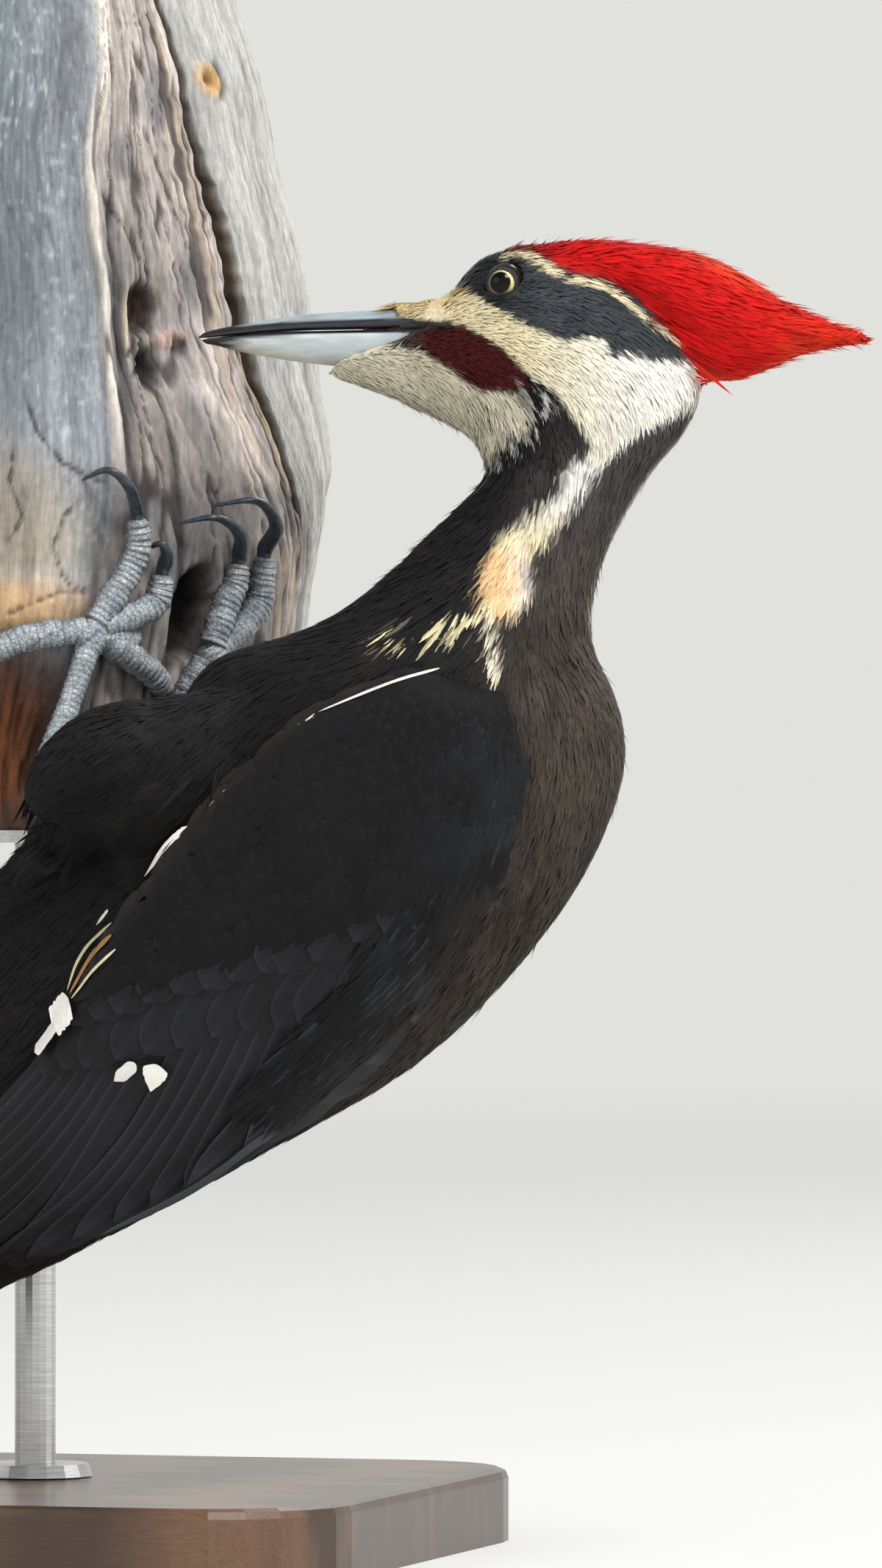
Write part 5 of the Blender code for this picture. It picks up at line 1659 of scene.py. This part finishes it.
# Rings from the rim to the pith of a sawn end: growth rings, checks and a darker heart
def cutEnd(rim, rimColour, angle, seed):
    middle = rim.mean(axis=0)
    shares = np.r_[0.996, 0.985, np.linspace(0.955, 0.0, perch["endRings"] - 2)]
    reach = np.linalg.norm(rim - middle, axis=1)[None] * shares[:, None] * 1000.0
    points = middle + (rim - middle)[None] * shares[:, None, None]
    turn = np.radians(np.broadcast_to(angle, reach.shape)).ravel()
    r = reach.ravel()
    swirl = np.c_[np.cos(turn) * r, np.sin(turn) * r]
    rings = 0.5 + 0.5 * np.sin(r * 1.1 + latticeNoise(swirl / 22.0, seed) * 9)
    checks = clamp(1.4 - np.abs(latticeNoise(np.c_[turn * 9, r * 0], seed + 2) - 0.5) * 22)
    mottle = latticeNoise(swirl / 3.0, seed + 1)
    shade = (0.62 + 0.22 * rings + 0.3 * mottle) * (1 - 0.5 * checks)
    heart = clamp(1.1 - r / 55.0)[:, None]
    wood = linear((176, 158, 134)) * (1 - heart * 0.5) + linear((128, 88, 56)) * heart * 0.5
    colour = (wood * shade[:, None]).reshape(points.shape)
    points[1:, :, 2] += ((mottle - 0.5) * 0.0003).reshape(reach.shape)[1:]
    points[-1] = points[-1].mean(axis=0)
    colour[0] = rimColour * 0.6 + colour[0] * 0.4
    return points, colour


def buildPerch():
    shares = np.linspace(0, 1, 404)
    base = np.interp(shares, *np.array(perch["columns"]).T)
    heights = np.linspace(perch["low"], perch["high"], perch["rows"])
    crack = np.interp(heights, *np.array(perch["crack"]).T)
    crack += (latticeNoise(np.c_[heights / 2.6, heights * 0], 31) - 0.5) * 0.7
    crack += (latticeNoise(np.c_[heights / 9.0, heights * 0], 32) - 0.5) * 1.0
    pull = np.interp(base, [20, 48, 62, 104], [0, 1, 1, 0])       # columns follow the crack
    angle = base[None, :] + (crack - 55.0)[:, None] * pull[None, :]
    height = np.repeat(heights[:, None], len(base), 1)
    cracks = np.repeat(crack[:, None], len(base), 1)
    relief, colour = perchRelief(angle.ravel(), height.ravel(), cracks.ravel())
    relief = relief.reshape(angle.shape)
    relief[:, -1] = relief[:, 0]                      # the two edges of the sheet meet exactly
    points = toWorld(onPerch(angle, height, relief))
    colour = colour.reshape(points.shape)
    ends = [cutEnd(points[row], colour[row], angle[row], seed) for row, seed in ((0, 51), (-1, 52))]
    points = np.concatenate([ends[0][0][::-1], points, ends[1][0]])
    colour = np.concatenate([ends[0][1][::-1], colour, ends[1][1]]).reshape(-1, 3)
    sheet = meshFromArrays("perch_trunk", points.reshape(-1, 3), gridFaces(*points.shape[:2]),
                           woodMaterial(), colour)
    fixNormals(sheet, weld=0.00002)
    settle(sheet, "weathered_wood", "perch")


def woodMaterial():
    n = Nodes("weathered_barkless_wood")
    n.set(Roughness=0.85)
    tint = n.paint()
    grain = n.noise(n.coords((1.0, 1.0, 0.07)), 900.0, 6.0, 0.65)
    flecks = n.noise(n.coords(), 420.0, 5.0, 0.7)
    colour = n.blend("MULTIPLY", 0.8, tint, n.greys(grain, 0.3, 0.62, 0.72, 1.3))
    colour = n.blend("MULTIPLY", 0.5, colour, n.greys(flecks, 0.3, 0.7, 0.7, 1.25))
    normal = n.bump(flecks, 0.3, 0.0005, n.bump(grain, 0.5, 0.0006))
    return n.finish(colour, normal)


feet = {
    "hub": {"left": (25.6, 223.0, 5.2), "right": (47.7, 218.0, 5.6)},
    "heel": {"left": (-118.4, -25.6, 188.2), "right": (-79.5, 29.0, 192.5)},
    "palm": {
        "left": [(24.4, 223.4, 4.2), (28.0, 221.6, 3.8), (31.4, 221.2, 3.0), (34.4, 222.4, 1.6)],
        "right": [(46.6, 216.0, 4.2), (49.4, 218.2, 3.8), (51.8, 219.0, 3.2), (54.0, 218.6, 2.2)]},
    "toes": {
        "left": {
            1: [(29.6, 217.4, 4.4), (35.6, 214.2, 4.2), (40.2, 209.4, 3.6)],
            2: [(31.2, 226.6, 4.6), (35.2, 228.8, 3.9), (36.8, 232.4, 3.6), (37.0, 236.4, 3.4)],
            3: [(26.8, 229.6, 4.4), (30.6, 236.0, 3.8), (32.2, 242.8, 3.6), (31.6, 249.6, 3.4)],
            4: [(20.6, 224.2, 4.4), (15.2, 221.2, 3.8), (10.2, 217.8, 3.6), (4.6, 215.8, 3.4)]},
        "right": {
            1: [(45.6, 212.4, 4.4), (44.6, 206.8, 3.6), (44.2, 201.6, 3.4)],
            2: [(47.9, 224.8, 4.4), (50.2, 230.0, 3.8), (51.8, 234.8, 3.6), (52.0, 239.4, 3.4)],
            3: [(53.8, 221.6, 4.8), (57.2, 228.4, 4.0), (58.4, 235.2, 3.6), (58.2, 241.2, 3.4)],
            4: [(52.6, 213.2, 4.4), (59.4, 213.4, 3.8), (66.0, 215.2, 3.6), (72.6, 217.0, 3.4)]}},
    "claws": {
        "left": {1: [(40.6, 206.0, 4.6), (40.6, 202.6, 3.6), (40.6, 201.0, 0.2)],
                 2: [(36.6, 241.0, 5.4), (35.4, 243.8, 5.0), (34.4, 242.6, 0.2)],
                 3: [(28.4, 257.4, 7.6), (25.4, 261.0, 6.6), (22.9, 258.6, 0.2)],
                 4: [(-0.4, 216.2, 7.2), (-4.4, 214.6, 6.2), (-6.0, 211.6, 0.2)]},
        "right": {1: [(43.9, 197.2, 4.6), (43.7, 193.6, 3.6), (43.6, 192.0, 0.2)],
                  2: [(48.9, 246.4, 7.0), (43.6, 250.2, 7.0), (39.2, 248.6, 0.2)],
                  3: [(56.2, 248.8, 7.6), (50.8, 254.4, 7.6), (45.0, 252.8, 0.2)],
                  4: [(78.2, 219.0, 7.2), (82.2, 218.2, 6.2), (83.8, 215.4, 0.2)]}},
}


def outwardFrom(points):
    away = points - np.array([*perch["axis"], 0.0])
    away[:, 2] = 0.0
    return unit(away)


def buildFeet():
    scales, horn = scaleMaterial(), clawMaterial()

    def tube(name, path, radii, around, shape, *nodes, material=scales, slot="foot_scales"):
        rings = tubeRings(path, radii, around, outwardFrom(path), *shape)
        piece = addPiece(name, loft(rings), material)
        if material is scales:
            paintScutes(piece, path)
        settle(piece, slot, *nodes)

    for side, _ in bothSides:
        hub = onPerch(*feet["hub"][side])
        heel = np.array(feet["heel"][side])
        shares = np.linspace(0.0, 1.06, 110)
        path = heel + (hub - heel) * shares[:, None]
        radii = np.interp(shares, [0, 0.03, 0.12, 0.5, 0.84, 0.95, 1.06],
                          [1.7, 3.0, 3.6, 2.7, 2.8, 3.9, 2.8])
        tube(f"shank_{side}", path, radii, 20, (0.09, 0.0), f"tarsus_{side}")
        path = curveThrough([onPerch(*place) for place in feet["palm"][side]], 30)
        radii = np.interp(np.linspace(0, 1, 30), [0, 0.15, 0.4, 0.75, 0.93, 1.0],
                          [1.6, 3.2, 3.7, 3.0, 2.0, 0.9])
        tube(f"palm_{side}", path, radii, 24, (0.0, 0.2))
        for toe, route in feet["toes"][side].items():
            knots = np.array([onPerch(*place) for place in route])
            away = (knots[0] - hub) / np.linalg.norm(knots[0] - hub)
            knots[0] = hub + away * 2.2
            path = curveThrough(knots, 120)
            t = np.linspace(0, 1, 120)
            radii = np.interp(t, [0, 0.2, 0.4, 0.75, 0.95, 1.0], [2.8, 3.1, 3.0, 2.7, 2.45, 1.7])
            joints = 1 + 0.10 * np.cos(t * math.tau * 3) ** 2
            tube(f"toe_scales_{side}_{toe}", path, radii * joints, 20, (0.16, 0.16),
                 f"toe_{side}_{toe}")
            ahead = (knots[-1] - knots[-2]) / np.linalg.norm(knots[-1] - knots[-2])
            arch = [knots[-1] - ahead * 0.5, knots[-1] + ahead * 2.2]
            arch += [onPerch(*place) for place in feet["claws"][side][toe]]
            path = curveThrough(np.array(arch), 60)
            radii = np.interp(np.linspace(0, 1, 60), [0, 0.2, 0.5, 0.8, 0.95, 1.0],
                              [1.75, 2.15, 1.9, 1.25, 0.55, 0.15])
            tube(f"claw_horn_{side}_{toe}", path, radii, 18, (0, 0, 0.62),
                 f"claw_{side}_{toe}", material=horn, slot="claw_horn")


# Dark seams between the cross scales on the side that faces outward, dark dots, and painted shade
# on the side that faces the trunk
def paintScutes(piece, path):
    points = toBird(vertexArray(piece.data))
    nearest = np.linalg.norm(points[:, None] - path[None], axis=2).argmin(axis=1)
    length = lengthAlong(path)[nearest]
    off = points - path[nearest]
    top = (off * outwardFrom(path)[nearest]).sum(1) / (np.linalg.norm(off, axis=1) + 1e-6)
    saw = ((length + 0.5 * latticeNoise(points / 1.6, 43)) / scuteLength) % 1.0
    seam = np.exp(-(np.minimum(saw, 1 - saw) / 0.13) ** 2) * clamp(top * 3 - 0.4)
    dots = clamp(latticeNoise(points / 1.1, 41) * 5 - 3.7)
    shade = (0.85 + 0.3 * latticeNoise(points / 3.0, 42)) * (1 - 0.42 * seam) * (1 - 0.6 * dots)
    # painted shade: darker on the side that faces the trunk
    tone = np.clip(0.62 + 0.5 * top, 0.5, 1.0)          # the soles are darker
    paintVertices(piece.data, np.repeat((shade * tone)[:, None], 3, axis=1))


def scaleMaterial():
    n = Nodes("scaly_toe_skin")
    n.set(Roughness=0.55)
    cells = n.add("ShaderNodeTexVoronoi", Scale=900.0, feature="DISTANCE_TO_EDGE")
    n.link(n.coords(), cells.inputs["Vector"])
    seams = n.greys(cells.outputs["Distance"], 0.02, 0.25, 0.14, 1.0)
    mottle = n.noise(n.coords(), 380.0, 4.0)
    skin = n.ramp(mottle, [(0.3, (0.17, 0.20, 0.235)), (0.5, (0.38, 0.42, 0.455)),
                           (0.75, (0.58, 0.60, 0.60))])
    colour = n.blend("MULTIPLY", 0.55, skin, seams)
    colour = n.blend("MULTIPLY", 1.0, colour, n.paint())
    return n.finish(colour, n.bump(seams, 0.5, 0.00035))


def clawMaterial():
    n = Nodes("claw_horn_gloss")
    n.set(Roughness=0.28)
    streaks = n.noise(n.coords(), 500.0, 4.0)
    colour = n.ramp(streaks, [(0.3, (0.012, 0.016, 0.024)), (0.7, (0.055, 0.07, 0.09))])
    return n.finish(colour, n.bump(streaks, 0.2, 0.0002))


def finishStand():
    n = Nodes("walnut_base")
    n.set(Roughness=0.36, Coat_Weight=0.35, Coat_Roughness=0.2)
    rings = n.add("ShaderNodeTexWave", Scale=14.0, Distortion=5.0, Detail=4.0)
    n.link(n.coords((0.35, 4.0, 1.0)), rings.inputs["Vector"])
    pores = n.noise(n.coords((1.0, 14.0, 14.0)), 160.0, 4.0)
    wood = n.ramp(rings.outputs["Fac"], [(0.1, (0.045, 0.020, 0.010)),
                                         (0.9, (0.135, 0.066, 0.032))])
    wood = n.blend("MULTIPLY", 0.6, wood, n.greys(pores, 0.35, 0.55, 0.6, 1.15))
    walnut = n.finish(wood, n.bump(pores, 0.12, 0.0003))
    steel = Nodes("satin_rod_steel")
    steel.set(Roughness=0.3, Metallic=1.0)
    brushed = steel.noise(steel.coords((1.0, 1.0, 30.0)), 120.0, 3.0)
    tone = steel.ramp(brushed, [(0.3, (0.42, 0.42, 0.43)), (0.7, (0.66, 0.66, 0.66))])
    metal = steel.finish(tone, steel.bump(brushed, 0.08, 0.0001))
    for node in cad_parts:
        if node.startswith("stand_"):
            piece = bpy.data.objects[node]
            piece.data.materials.clear()
            piece.data.materials.append(walnut if node == "stand_base" else metal)


buildStudio()
print("studio done")
skin = buildSkin()
print("skin:", len(skin.data.polygons), "faces")
coatMaterials = {"coat": coatMaterial("soft_plumage", 0.6, 0.04, 0.18),
                 "crest": coatMaterial("crest_plumage", 0.6, 0.05, 0.16),
                 "vane": vaneMaterial("flight_feathers", 0.44, 0.24),
                 "covert": vaneMaterial("wing_coverts", 0.46, 0.22)}
sheet = WingSheet(skin)
buildCoat(skin, sheet.covers)
print("coat done")
buildWings(sheet, WingSheet(skin, 11.0))          # the far wing is held in closer to the back
buildTail()
print("wings and tail done")
buildEyes()
buildBill()
buildGape(skin)
print("head done")
buildPerch()
buildFeet()
finishStand()
print("perch, feet and stand done")
